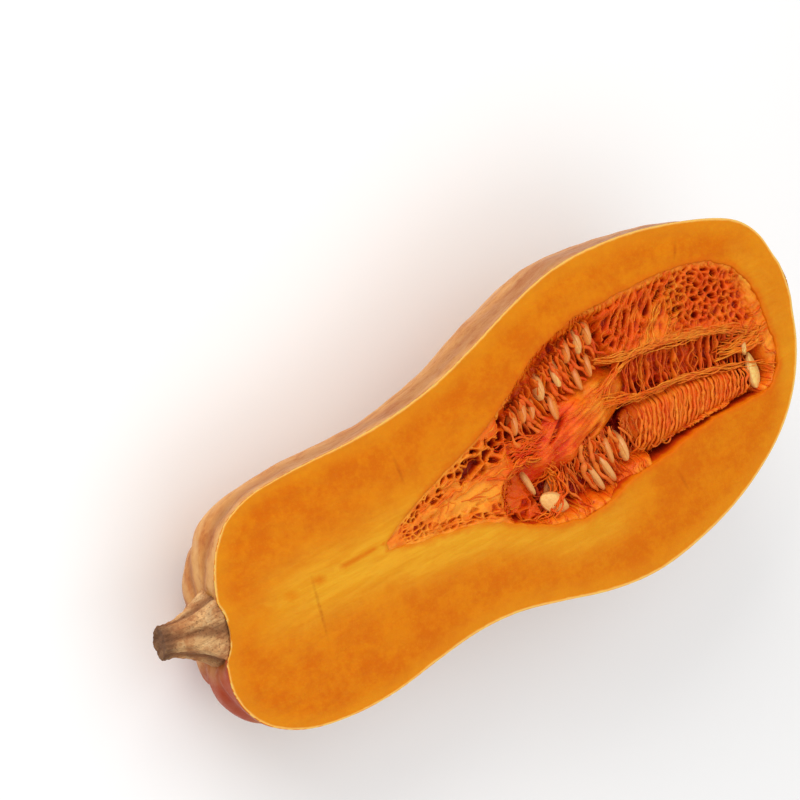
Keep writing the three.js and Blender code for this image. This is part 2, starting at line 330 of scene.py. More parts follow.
def shader_group(name, inputs, output):
    """An empty group with named inputs, as (name, kind, value), and one output, as (name, kind)."""
    tree = bpy.data.node_groups.new(name, "ShaderNodeTree")
    for label, kind, value in inputs:
        socket = tree.interface.new_socket(label, in_out="INPUT", socket_type="NodeSocket" + kind)
        if value is not None:
            socket.default_value = value
    tree.interface.new_socket(output[0], in_out="OUTPUT", socket_type="NodeSocket" + output[1])
    source = tree.nodes.new("NodeGroupInput")
    sink = tree.nodes.new("NodeGroupOutput")
    return tree, Graph(tree), source.outputs, sink.inputs[output[0]]


def make_mottle():
    """Two colours mixed in soft patches of two sizes."""
    tree, g, given, out = shader_group(
        "mottle",
        [
            ("Vector", "Vector", None), ("Patch size", "Float", 60.0), ("Amount", "Float", 1.0),
            ("Base", "Color", None), ("Patches", "Color", None),
        ],
        ("Color", "Color"),
    )
    wide = g.noise(given["Vector"], given["Patch size"], 3.0, 0.6)
    fine = g.noise(given["Vector"], g.maths("MULTIPLY", given["Patch size"], 5.3), 4.0, 0.65)
    both = g.maths("ADD", g.maths("MULTIPLY", wide, 0.62), g.maths("MULTIPLY", fine, 0.38))
    share = g.maths("MULTIPLY", g.spread(both, 0.36, 0.66), given["Amount"])
    g.feed(out, g.mix(share, given["Base"], given["Patches"]))
    return tree


def make_fibres():
    """Thin wavering lines along the vector's X, from 0 to 1."""
    tree, g, given, out = shader_group(
        "fibres",
        [("Vector", "Vector", None), ("Along", "Float", 30.0), ("Across", "Float", 600.0)],
        ("Value", "Float"),
    )
    scale = g.fill(g.node("CombineXYZ"), X=given["Along"], Y=given["Across"], Z=given["Across"])
    lines = g.noise(g.stretched(given["Vector"], scale["Vector"]), 1.0, 4.0, 0.6, 0.35)
    g.feed(out, g.spread(lines, 0.35, 0.65))
    return tree


def make_relief():
    """Height of a fine, uneven surface: soft lumps under small grains."""
    tree, g, given, out = shader_group(
        "relief",
        [
            ("Vector", "Vector", None), ("Lumps", "Float", 250.0), ("Grains", "Float", 1400.0),
            ("Grain share", "Float", 0.3),
        ],
        ("Height", "Float"),
    )
    lumps = g.noise(given["Vector"], given["Lumps"], 3.0, 0.5)
    grains = g.maths("MULTIPLY", g.cells(given["Vector"], given["Grains"]), given["Grain share"])
    g.feed(out, g.maths("ADD", lumps, grains))
    return tree


MOTTLE = make_mottle()
FIBRES = make_fibres()
RELIEF = make_relief()


def mottled(g, where, size, base, patches):
    """The mottle with its two colours given in 0 to 255."""
    return g.use(MOTTLE, "Color", Vector=where, Patch_size=size, Base=srgb(*base), Patches=srgb(*patches))


def new_material(name, roughness, specular=0.5, under=0.0, under_colour=(1.0, 0.35, 0.1), coat=0.0):
    """A material with its graph and its Principled shader. under is how much light scatters beneath."""
    material = bpy.data.materials.new(name)
    material.use_nodes = True
    graph = Graph(material.node_tree)
    shader = material.node_tree.nodes["Principled BSDF"]
    shader.inputs["Roughness"].default_value = roughness
    shader.inputs["Specular IOR Level"].default_value = specular
    if under:
        shader.inputs["Subsurface Weight"].default_value = under
        shader.inputs["Subsurface Radius"].default_value = under_colour
        shader.inputs["Subsurface Scale"].default_value = 0.004
    if coat:
        shader.inputs["Coat Weight"].default_value = coat
        shader.inputs["Coat Roughness"].default_value = 0.12
    return material, graph, shader


def set_bump(graph, shader, height, strength, distance):
    bump = graph.fill(graph.node("Bump"), Strength=strength, Distance=distance, Height=height)
    graph.feed(shader.inputs["Normal"], bump["Normal"])


# ------------------------------------------------------------------ flesh and rind


def make_rind_material():
    """Waxy rind: cream ribs with a painted highlight along their tops, peach to brick patches, painted
    shade darkening the creases, olive flecks.
    """
    material, g, shader = new_material("rind", 0.45, 0.18)
    where = g.position()
    colour = mottled(g, g.stretched(where, (0.55, 1.0, 1.0)), 38.0, (198, 136, 66), (172, 92, 32))
    flecks = g.noise(g.stretched(where, (0.35, 1.0, 1.0)), 420.0, 5.0, 0.7)
    colour = g.tint(colour, flecks, 0.5, 0.66, 0.6, (156, 80, 40))
    streaks = g.use(FIBRES, "Value", Vector=where, Along=26.0, Across=210.0)
    colour = g.mix(g.maths("MULTIPLY", streaks, 0.3), colour, srgb(222, 170, 100))
    olive = g.spread(g.noise(where, 55.0, 4.0, 0.6, 0.4), 0.56, 0.72, 0.0, 0.4)
    colour = g.mix(olive, colour, srgb(158, 122, 66))
    # painted shade: the creases darker
    colour = g.tint(colour, g.value("crease"), 0.35, 1.0, 0.45, (138, 76, 34))
    # the ribs' own cream colour, together with a painted highlight along their tops
    colour = g.tint(colour, g.value("rib"), 0.55, 1.0, 0.42, (226, 174, 104))
    colour = g.tint(colour, g.value("blush"), 0.0, 0.6, 0.88, (168, 50, 10))
    colour = g.tint(colour, g.value("scar"), 0.25, 0.8, 0.85, (112, 74, 44))
    g.feed(shader.inputs["Base Color"], colour)
    g.feed(shader.inputs["Roughness"], g.spread(flecks, 0.3, 0.75, 0.34, 0.58))
    relief = g.use(RELIEF, "Height", Vector=where, Lumps=160.0, Grains=1500.0, Grain_share=0.18)
    set_bump(g, shader, g.maths("ADD", relief, g.maths("MULTIPLY", flecks, 0.5)), 0.35, 0.0006)
    return material


# Faint marks of the knife on the cut face: middle, direction and half length.
KNIFE_MARKS = [
    ((43.4, -9.0, 0), 83, 17), ((94.0, 24.5, 0), 91, 8), ((210, -33, 0), 100, 7), ((243, 53, 0), 62, 6),
]
KNIFE_MARK_WIDTH = 0.0011  # metres


def knife_mark(g, where, middle, turn, half_long):
    """1 along a thin line on the cut face and 0 away from it."""
    in_mark = g.fill(
        g.node("Mapping", vector_type="TEXTURE"), Vector=where, Location=tuple(to_row(middle)),
        Rotation=(0, 0, math.radians(turn)), Scale=(half_long / 1000, KNIFE_MARK_WIDTH, 0.1),
    )
    distance = g.node("VectorMath", operation="LENGTH")
    g.feed(distance.inputs[0], in_mark["Vector"])
    return g.spread(distance.outputs["Value"], 1.0, 0.1)


def make_flesh_material():
    """Moist cut flesh: saturated orange, a yellow zone along the axis, a pale line under the rind."""
    material, g, shader = new_material("flesh", 0.44, 0.07, under=0.2, under_colour=(1.0, 0.42, 0.08))
    where = g.position()
    edge, rim = g.value("edge_mm"), g.value("rim_mm")
    colour = mottled(g, where, 75.0, (206, 103, 0), (216, 124, 4))
    fibres = g.use(FIBRES, "Value", Vector=where, Along=22.0, Across=420.0)
    yellow = g.mix(g.maths("MULTIPLY", fibres, 0.6), srgb(226, 162, 36), srgb(214, 138, 14))
    zone = g.spread(g.noise(where, 60.0, 4.0, 0.6, 0.5), 0.2, 0.55, 0.6, 1.0)
    zone = g.maths("MULTIPLY", g.value("axis_zone"), zone)
    colour = g.mix(zone, colour, yellow)
    pores = g.cells(where, 900.0)
    colour = g.mix(g.spread(pores, 0.1, 0.45, 0.1, 0.0), colour, srgb(228, 152, 40))
    colour = g.tint(colour, edge, 10.0, 1.5, 0.5, (220, 142, 22))
    uneven = g.maths("ADD", edge, g.maths("MULTIPLY", g.noise(where, 240.0, 3.0), 0.9))
    colour = g.tint(colour, uneven, 1.7, 0.75, 0.85, (240, 196, 104))
    colour = g.tint(colour, uneven, 0.72, 0.45, 0.7, (196, 168, 92))
    for middle, turn, half_long in KNIFE_MARKS:
        mark = knife_mark(g, where, middle, turn, half_long)
        mark = g.maths("MULTIPLY", mark, g.spread(pores, 0.1, 0.6, 1.0, 0.5))
        colour = g.mix(g.maths("MULTIPLY", mark, 0.55), colour, srgb(166, 70, 0))
    near_rim = g.maths("ADD", rim, g.maths("MULTIPLY", g.noise(where, 180.0, 4.0, 0.6), 4.0))
    colour = g.tint(colour, near_rim, 5.5, 2.0, 0.6, (212, 94, 4))
    # painted shade: the cavity wall turns deep red, then dark, as it goes down
    colour = g.tint(colour, g.value("deep"), 0.02, 0.14, 0.92, (186, 46, 6))
    colour = g.tint(colour, g.value("deep"), 0.1, 0.45, 0.85, (112, 12, 4))
    g.feed(shader.inputs["Base Color"], colour)
    wet = g.noise(where, 500.0, 3.0, 0.6)
    g.feed(shader.inputs["Roughness"], g.spread(wet, 0.3, 0.7, 0.3, 0.52))
    relief = g.use(RELIEF, "Height", Vector=where, Lumps=320.0, Grains=1700.0, Grain_share=0.35)
    height = g.maths("ADD", relief, g.maths("MULTIPLY", fibres, 0.35))
    set_bump(g, shader, height, 0.3, 0.0005)
    return material


def lean_at(x):
    return STEM_END_LEAN * np.exp(-np.maximum(x, 0) / 28)


def crease_depth(x):
    near_stem = np.exp(-np.maximum(x, 0) / 26)
    near_blossom = np.exp(-np.maximum(BLOSSOM_POLE_X - x, 0) / 22)
    at_stem = (GROOVE_AT_STEM - GROOVE_ON_SIDE) * near_stem
    at_blossom = (GROOVE_AT_BLOSSOM - GROOVE_ON_SIDE) * near_blossom
    return GROOVE_ON_SIDE + at_stem + at_blossom


def crease_at(angle, x):
    """1 in the middle of a groove and 0 on a rib. Towards the stem the grooves close into creases."""
    sharpness = 2.2 + 3.5 * np.exp(-np.maximum(x, 0) / 20)
    return np.abs(np.sin(RIB_COUNT / 2 * (angle + math.pi / 2))) ** sharpness


def rind_radius(x, radius, angle):
    return radius - crease_depth(x) * np.minimum(1, radius / 22) * crease_at(angle, x)


def rind_points(x, radius, angle):
    r = rind_radius(x, radius, angle)
    return np.stack(
        [
            x + lean_at(x) * r * np.cos(angle),
            along(FRUIT_BEND, x) + r * np.cos(angle),
            -CUT_ABOVE_AXIS + r * np.sin(angle),
        ],
        -1,
    )


def cut_angle(x, radius, far_side):
    """Angle at which each ring meets the cut face, on the +Y side or on the far side."""
    angle = np.full_like(x, 0.3)
    for _ in range(12):
        turned = math.pi - angle if far_side else angle
        angle = np.arcsin(np.minimum(1, CUT_ABOVE_AXIS / rind_radius(x, radius, turned)))
    return angle


def cavity_outline():
    """The rim of the cavity, all the way round, slightly ragged."""
    x = np.linspace(CAVITY_START, CAVITY_END, 260)
    middle, half = along(CAVITY, x), along(CAVITY, x, 2)
    upper = np.stack([x, middle + half], 1)
    lower = np.stack([x, middle - half], 1)[::-1]
    turn = np.linspace(0.12, math.pi - 0.12, 40)
    end = np.stack([CAVITY_END + 2.2 * np.sin(turn), middle[-1] + half[-1] * np.cos(turn)], 1)
    loop = np.concatenate([upper, end, lower])
    out = loop - [190, 10]
    out /= np.linalg.norm(out, axis=1)[:, None]
    ragged = 0.35 * ripple(loop, 5, 3) + 0.2 * ripple(loop, 1.8, 4)
    return loop + out * (ragged * smooth_step(79, 96, loop[:, 0]))[:, None]


def rays_to_outline(centres, targets, outline):
    """Where each ray from a centre towards its target crosses the closed outline."""
    a, b = outline, np.roll(outline, -1, axis=0)
    ray = targets - centres
    edge = b - a
    cross = ray[:, None, 0] * edge[None, :, 1] - ray[:, None, 1] * edge[None, :, 0]
    offset = a[None] - centres[:, None]
    with np.errstate(divide="ignore", invalid="ignore"):
        t = (offset[..., 0] * edge[None, :, 1] - offset[..., 1] * edge[None, :, 0]) / cross
        u = (offset[..., 0] * ray[:, None, 1] - offset[..., 1] * ray[:, None, 0]) / cross
    hit = (t > 0) & (u >= -1e-6) & (u <= 1 + 1e-6)
    t = np.where(hit, t, 9.0).min(1)
    return centres + ray * np.minimum(t, 0.97)[:, None]


# Shares of the way from rind to cavity at which the cut face has points, close together at both rims.
FACE_STEPS_AT_RIND = [0, 0.004, 0.012, 0.025, 0.045, 0.07]
FACE_STEPS_AT_CAVITY = [0.94, 0.965, 0.98, 0.99, 1]
CAVITY_RIM_ROUNDING = 0.8


def make_flesh_and_rind():
    shell = Shell("edge_mm", "rim_mm", "deep", "axis_zone", "crease", "rib", "blush", "scar")
    # the rind, ring by ring from the stem to the blossom end
    profile = spline([(STEM_POLE_X, 0.02)] + FRUIT_PROFILE + [(BLOSSOM_POLE_X, 0.02)], 270)
    x, radius = profile[:, 0], profile[:, 1]
    right, left = cut_angle(x, radius, False), cut_angle(x, radius, True)
    share = np.linspace(0, 1, 205)
    angle = right[:, None] - share[None] * (right + math.pi + left)[:, None]
    x2, radius2 = np.broadcast_to(x[:, None], angle.shape), np.broadcast_to(radius[:, None], angle.shape)
    rind = rind_points(x2, radius2, angle)
    cut = radius > CUT_ABOVE_AXIS * 1.02
    inside_edge = smooth_step(0, 5, -rind[..., 2])
    flat = rind.reshape(-1, 3)
    bumps = 0.45 * ripple(flat, 22, 11) + 0.16 * ripple(flat, 6, 12)
    rind += normals_of(rind) * (bumps.reshape(angle.shape) * inside_edge)[..., None] * -1
    rind[cut, 0, 2] = 0
    rind[cut, -1, 2] = 0
    # flat where it rests on the ground
    row = to_row(rind)
    row[..., 2] = np.maximum(row[..., 2], 0)
    rind = to_fruit(row)
    # creases darkened with painted shade, ribs lightened with a painted highlight on their tops, a blush
    # under the stem and the blossom scar
    crease = crease_at(angle, x2)
    lower_stem_end = smooth_step(38, -8, x2) * smooth_step(6, -26, rind[..., 1])
    blush = lower_stem_end * (0.7 + 0.3 * ripple(flat, 14, 13).reshape(angle.shape))
    scar = np.exp(-((radius2 / 5.5) ** 2)) * (x2 > 200)
    shell.grid(
        rind, 0, scar=scar, crease=crease * smooth_step(0, 12, radius2), rib=1 - crease**0.5,
        blush=np.clip(blush, 0, 1), edge_mm=20, rim_mm=40,
    )

    # the cut face, on rays from the cavity's middle line to the rind's edge
    first, last = np.flatnonzero(cut)[[0, -1]]
    edge = np.concatenate([rind[first : last + 1, 0], rind[first : last + 1, -1][::-1]])
    pair_x = (rind[first : last + 1, 0, 0] + rind[first : last + 1, -1, 0]) / 2
    centre_x = np.clip(np.concatenate([pair_x, pair_x[::-1]]), 96, 250)
    centre = np.stack([centre_x, along(CAVITY, centre_x)], 1)
    rim = rays_to_outline(centre, edge[:, :2], cavity_outline())
    width = np.linalg.norm(edge[:, :2] - rim, axis=1)
    steps = np.concatenate([FACE_STEPS_AT_RIND, np.linspace(0.1, 0.9, 15), FACE_STEPS_AT_CAVITY])
    face_xy = edge[:, None, :2] * (1 - steps)[None, :, None] + rim[:, None] * steps[None, :, None]
    to_edge, to_rim = width[:, None] * steps[None], width[:, None] * (1 - steps)[None]
    over = np.clip(1 - to_rim / CAVITY_RIM_ROUNDING, 0, 1)
    drop = CAVITY_RIM_ROUNDING * (1 - np.sqrt(1 - over**2))
    flat_xy = face_xy.reshape(-1, 2)
    waves = 0.10 * ripple(flat_xy * [0.35, 1], 5, 21) + 0.05 * ripple(flat_xy, 2.5, 22)
    waves = waves.reshape(drop.shape) * smooth_step(0, 3, to_edge)
    face = np.concatenate([face_xy, (-drop - 0.12 * smooth_step(0, 3, to_edge) + waves)[..., None]], 2)
    face[:, 0, 2] = edge[:, 2]
    # the yellow zone: along the axis, below the cavity's narrow end and beyond its wide end
    face_x, face_y = face[..., 0], face[..., 1]
    zone = np.exp(-(((face_y + 3 - 0.03 * face_x) / 13) ** 2))
    zone = smooth_step(6, 42, face_x) * zone * smooth_step(215, 150, face_x)
    below = np.exp(-(((to_rim - 7) / 8) ** 2)) * (face_y < along(CAVITY, face_x))
    below = below * smooth_step(205, 165, face_x)
    beyond = np.exp(-(((to_rim - 5) / 7) ** 2)) * smooth_step(262, 274, face_x)
    zone = np.clip(zone + 0.75 * below + 0.4 * beyond, 0, 1)
    shell.grid(face, 1, flip=True, edge_mm=to_edge, rim_mm=to_rim, axis_zone=zone)

    # the cavity's wall, from its rim to the floor
    turn = np.linspace(0, 1, 16) ** 0.8
    depth = along(CAVITY, centre_x, 3)
    start = np.arcsin(np.clip(face[:, -1, 2] / -depth, 0.02, 0.9))
    fall = start[:, None] + turn[None] * (math.pi / 2 - start)[:, None]
    reach = np.cos(fall) / np.cos(start)[:, None]
    wall_xy = centre[:, None] + (rim - centre)[:, None] * reach[..., None]
    wall_z = -depth[:, None] * np.sin(fall)
    wall_z[:, 0] = face[:, -1, 2]
    wall = np.concatenate([wall_xy, wall_z[..., None]], 2)
    bumps = ripple(wall.reshape(-1, 3), 5, 31).reshape(wall_z.shape) * 0.5
    wall[..., 2] += bumps * np.sin(turn * math.pi)[None]
    # painted shade on the wall, growing with depth
    deep = np.clip(-wall[..., 2] / 30, 0, 1)
    shell.grid(wall, 1, flip=True, deep=deep, edge_mm=20, rim_mm=0)
    # the small triangles between the cut face and the rind's tips
    for ring in (first, last):
        tip = rind[ring - 1, 0] if ring == first else rind[ring + 1, 0]
        shell.add([rind[ring, 0], rind[ring, -1], tip], [[0, 1, 2]], 1, edge_mm=0.2, rim_mm=40)
    # the narrow gaps left between the first and the last rays; the wall's gap gets half the painted shade
    for grid, rim_mm, depth in ((face, 2, 0), (wall, 0, 0.5)):
        shell.grid(grid[[0, -1]], 1, edge_mm=2, rim_mm=rim_mm, deep=depth)
    piece = shell.build(
        "flesh_and_rind_fine", [make_rind_material(), make_flesh_material()], ["flesh_and_rind"], "flesh",
        weld=WELD,
    )
    piece.data.set_sharp_from_angle(angle=math.radians(55))
    return piece


make_flesh_and_rind()

# ------------------------------------------------------------------ stem


def make_stem_material():
    """Dry, corky stem: tan ridges, brown in the furrows and at the end."""
    material, g, shader = new_material("stem", 0.72, 0.2)
    where = g.position()
    colour = mottled(g, where, 130.0, (226, 178, 120), (186, 124, 74))
    lines = g.use(FIBRES, "Value", Vector=where, Along=70.0, Across=900.0)
    colour = g.mix(g.maths("MULTIPLY", lines, 0.35), colour, srgb(136, 84, 48))
    blotches = g.noise(where, 150.0, 5.0, 0.65, 0.3)
    colour = g.tint(colour, blotches, 0.5, 0.62, 0.6, (150, 88, 50))
    colour = g.tint(colour, blotches, 0.46, 0.36, 0.4, (220, 188, 138))
    colour = g.tint(colour, g.value("furrow"), 0.35, 1.0, 0.75, (118, 70, 40))
    colour = g.tint(colour, g.value("outward"), 0.7, 0.99, 0.8, (104, 70, 48))
    specks = g.cells(where, 700.0)
    colour = g.mix(g.spread(specks, 0.12, 0.3, 0.45, 0.0), colour, srgb(92, 56, 34))
    g.feed(shader.inputs["Base Color"], colour)
    relief = g.use(RELIEF, "Height", Vector=where, Lumps=420.0, Grains=1300.0, Grain_share=0.5)
    set_bump(g, shader, g.maths("ADD", relief, lines), 0.6, 0.0007)
    return material


# Distance outwards, radius and height of the ridges.
STEM_STATIONS = [
    (-3, 18.2, 3.4), (0, 15.8, 3.5), (2, 14.9, 3.4), (5, 12.9, 3.0), (9, 10.4, 2.4), (13, 8.4, 1.8),
    (17.5, 6.9, 1.3), (22, 6.4, 1.0), (23.4, 6.5, 0.9), (24, 6.0, 0.8),
]
STEM_LENGTH = 24.0


STEM_AROUND = 180  # points round the stem
STEM_END_RINGS = 14


def make_stem():
    shell = Shell("furrow", "outward")
    away = np.concatenate([np.linspace(-3, 22, 76), np.linspace(22.2, STEM_LENGTH, 8)])
    turn = np.linspace(0, 2 * math.pi, STEM_AROUND, endpoint=False)
    away, turn = np.meshgrid(away, turn, indexing="ij")
    furrow = 0.5 - 0.5 * np.cos(5 * (turn + math.pi / 2 + 0.012 * away))
    furrow = furrow**1.4
    small = 0.5 - 0.5 * np.cos(20 * turn + 1.3 * np.sin(away / 4))
    radius = along(STEM_STATIONS, away) - along(STEM_STATIONS, away, 2) * furrow - 0.28 * small
    place = np.stack([away, 6 * np.cos(turn), 6 * np.sin(turn)], -1).reshape(-1, 3)
    warts = ripple(place * [0.5, 1, 1], 3.2, 41) * 0.34 + ripple(place, 1.1, 42) * 0.14
    radius = radius + warts.reshape(radius.shape) * smooth_step(-3, 2, away)
    share = away / STEM_LENGTH
    # the foot stays a little under the cut face
    highest = -0.25 - 1.2 * smooth_step(2, -1.5, away)
    side = np.stack(
        [
            7 - away + STEM_END_LEAN * radius * np.cos(turn),
            0.5 + 5 * share + radius * np.cos(turn),
            np.minimum(-CUT_ABOVE_AXIS + 1.5 * share**2 + radius * np.sin(turn), highest),
        ],
        -1,
    )
    rings = np.linspace(1, 0.02, STEM_END_RINGS)
    last, furrow_last = side[-1], furrow[-1]
    middle = last.mean(0)
    end = middle + (last - middle)[None] * rings[:, None, None]
    rough = ripple(end.reshape(-1, 3), 2, 43).reshape(STEM_END_RINGS, -1)
    hollow = 0.9 * smooth_step(1, 0.45, rings)[:, None] + 0.25 * rough
    end[..., 0] += hollow * smooth_step(1, 0.85, rings)[:, None]
    shell.grid(side, around=True, furrow=furrow, outward=share)
    shell.grid(end, around=True, furrow=0.4 + 0.6 * furrow_last[None] * rings[:, None], outward=1)
    shell.close(STEM_AROUND, 0)
    shell.build("stem_fine", [make_stem_material()], ["stem"], "stem", weld=WELD)


make_stem()

# ------------------------------------------------------------------ pulp


def make_pulp_material():
    """Wet, stringy pulp: painted shade, dark red, in the pits and hollows, orange on top, yellow where it
    is thick and dry.
    """
    material, g, shader = new_material(
        "pulp", 0.34, 0.16, under=0.1, under_colour=(1.0, 0.35, 0.04), coat=0.03,
    )
    where = g.position()
    tone = g.maths("ADD", g.value("tone"), g.spread(g.noise(where, 210.0, 4.0, 0.6), 0.3, 0.7, -0.16, 0.16))
    colour = g.mix(g.spread(tone, 0.0, 0.35), srgb(212, 44, 0), srgb(230, 84, 4))
    colour = g.tint(colour, tone, 0.3, 0.65, 1.0, (232, 112, 12))
    colour = g.tint(colour, tone, 0.6, 1.0, 1.0, (238, 148, 36))
    colour = g.mix(g.value("tan"), colour, srgb(222, 132, 62))
    lines = g.noise(g.stretched(where, (0.5, 1.4, 1.0)), 900.0, 4.0, 0.6, 0.6)
    colour = g.tint(colour, lines, 0.42, 0.72, 0.32, (238, 134, 28))
    # painted shade: dark red in the pits, hollows, gaps and undersides
    sunk = g.maths("ADD", g.value("sunk"), g.spread(g.noise(where, 320.0, 3.0), 0.3, 0.7, -0.12, 0.12))
    colour = g.tint(colour, sunk, 0.15, 0.6, 0.85, (186, 40, 4))
    colour = g.tint(colour, sunk, 0.5, 1.0, 0.85, (122, 10, 2))
    g.feed(shader.inputs["Base Color"], colour)
    g.feed(shader.inputs["Roughness"], g.spread(g.noise(where, 600.0, 3.0), 0.3, 0.7, 0.24, 0.5))
    relief = g.use(RELIEF, "Height", Vector=where, Lumps=700.0, Grains=2200.0, Grain_share=0.4)
    set_bump(g, shader, g.maths("ADD", relief, lines), 0.45, 0.0006)
    return material


PULP = make_pulp_material()


def cell_pattern(u, v, seed):
    """Cells about one unit across: distance from the wall between cells, and a value for each cell."""
    rng = np.random.default_rng(seed)
    places = rng.uniform(0.1, 0.9, (64, 64, 2))
    values = rng.uniform(0, 1, (64, 64))
    first = np.full(u.shape, 9.0)
    second = np.full(u.shape, 9.0)
    value = np.zeros(u.shape)
    for du in (-1, 0, 1):
        for dv in (-1, 0, 1):
            a, b = np.floor(u).astype(int) + du, np.floor(v).astype(int) + dv
            place = places[a % 64, b % 64]
            distance = np.hypot(a + place[..., 0] - u, b + place[..., 1] - v)
            nearer = distance < first
            second = np.where(nearer, first, np.minimum(second, distance))
            value = np.where(nearer, values[a % 64, b % 64], value)
            first = np.where(nearer, distance, first)
    return second - first, value


def turned(x, y, degrees):
    """x and y measured along and across a direction in the cut face."""
    a = math.radians(degrees)
    return x * math.cos(a) + y * math.sin(a), y * math.cos(a) - x * math.sin(a)


def blob(x, y, middle_x, middle_y, half_long, half_wide, degrees=0.0):
    """1 in the middle of an oval, falling to 0 at its edge."""
    u, v = turned(x - middle_x, y - middle_y, degrees)
    return 1 - smooth_step(0.45, 1.15, np.hypot(u / half_long, v / half_wide))


def rim_share(x, y):
    """0 in the middle of the cavity and 1 at its rim."""
    return np.abs(y - along(CAVITY, x)) / along(CAVITY, x, 2)


# The bright ridge under the upper mat, as (x, y).
RIDGE = [
    (190, 28), (197, 24.5), (206, 23), (218, 22), (229, 20.5), (242, 17.5), (255, 13.5), (265, 9), (271, 4),
]
# The strands along the lower mat's upper side, as (x, y).
SLIT = [(190, 6.8), (211, 5), (227, 4), (238, 2), (254, -1.5), (268, -5.5)]
# The lower mat's middle line, as (x, y, half width), and the distance between its hoops.
LOWER_MAT = [
    (196, -4.5, 9), (206, -6.4, 11.3), (215, -6.7, 11.2), (228, -6.6, 10.3), (240, -7.4, 9), (250, -8, 7.6),
    (264, -9.5, 5.5),
]
HOOP_PITCH = 2.3
WEB_WIDENING = 0.062  # growth of the net's cells per millimetre of the way from the tip
BULB_MIDDLE = (205.0, 8.0)
# The well beside the core: middle and half sizes.
WELL = (145.5, -9.5, 14.5, 13)
# Hollows and shelves of the cavity's floor: height, strength, oval.
HOLLOWS = [
    (-8.0, 0.95, (171, 28, 31, 13, 27)),
    (-9.0, 0.95, (229, 11.5, 38, 9.5, -15)),
    (-11.0, 1.0, (146, -9.5, 15, 14, 0)),
    (-9.5, 0.95, (181, -15, 13, 11, -15)),
]


# Each surface gives its height, its painted shade, from 0 to 1, dark red in its pits and hollows, and its
# tone, from red at 0 to yellow at 1.


def web_surface(x, y):
    """The net that closes the narrow end: a row of pits along its upper side, a pale patch below."""
    off_middle = y - along(CAVITY, x)
    across = off_middle / along(CAVITY, x, 2)
    # the cells widen away from the tip
    size = 1.9 + WEB_WIDENING * (x - 84)
    u = np.log(np.maximum(size, 0.6)) / WEB_WIDENING
    v = off_middle / size * 1.25
    wall, value = cell_pattern(u + 0.25 * ripple_at(x, y, 6, 51), v, 5)
    where = smooth_step(0.12, 0.4, across) * smooth_step(0.98, 0.8, across)
    where = np.maximum(where, 0.9 * blob(x, y, 92, 1, 11, 4))
    where = np.maximum(where, 0.55 * smooth_step(-0.35, -0.7, across) * smooth_step(-1.0, -0.85, across))
    pit = smooth_step(0.12, 0.5, wall) * where * smooth_step(0.15, 0.6, value) * smooth_step(82, 87, x)
    # two larger holes
    pit = np.maximum(pit, blob(x, y, 124, 11.5, 6, 2.3, 24))
    pit = np.maximum(pit, blob(x, y, 136, 16.5, 2.1, 2.1))
    z = -0.5 - 1.4 * smooth_step(92, 130, x) * (1 - across**2) - pit * (1.3 + 0.07 * (x - 84))
    # it slopes down to the well and to the core
    fall = smooth_step(1.06, 0.72, np.hypot((x - WELL[0]) / 15, (y - WELL[1]) / 13.5))
    fall = np.maximum(fall, 0.75 * smooth_step(138, 149, x))
    z = z - 8 * fall
    # painted shade on the slope down to the well and the core
    pit = np.maximum(pit, 0.22 * fall)
    z = z + 0.28 * ripple_at(x * 0.3 - y * 0.1, y, 2.2, 52)
    tone = 0.7 + 0.22 * blob(x, y, 118, 0.5, 19, 5.5, -4) - 0.36 * smooth_step(126, 142, x)
    tone = tone + 0.12 * smooth_step(0.8, 1.0, np.abs(across)) + 0.1 * smooth_step(100, 84, x)
    # the pits and the slope are given as painted shade
    return z, np.clip(pit * (0.62 + 0.4 * smooth_step(95, 125, x)), 0, 1), tone


def core_surface(x, y):
    """The smooth, fleshy core: red towards the narrow end, yellow-orange towards the wide one."""
    u, v = turned(x - 174.5, y - 7.0, 15)
    far = np.hypot(u / 29, v / 12)
    spread = v / np.sqrt(np.clip(1.25 - (u / 31) ** 2, 0.15, 2))
    lines = ripple_at(0.12 * u, spread, 1.0, 53)
    soft = ripple_at(x, y, 8, 54)
    z = -2.2 - 6.5 * far**3.4 + 0.22 * lines + 0.7 * soft
    slit = blob(x, y, 166, 9, 8, 1.4, 34) + 0.8 * blob(x, y, 181, 1.5, 7, 1.2, 24)
    z = z - 2.6 * slit
    tone = 0.12 + 0.55 * smooth_step(164, 186, x) + 0.06 * soft + 0.05 * lines
    tone = tone - 0.25 * smooth_step(0.75, 1.1, far)
    # painted shade in the slits and round the core's falling edge
    return z, np.clip(0.7 * slit + 0.35 * smooth_step(0.9, 1.25, far), 0, 1), tone


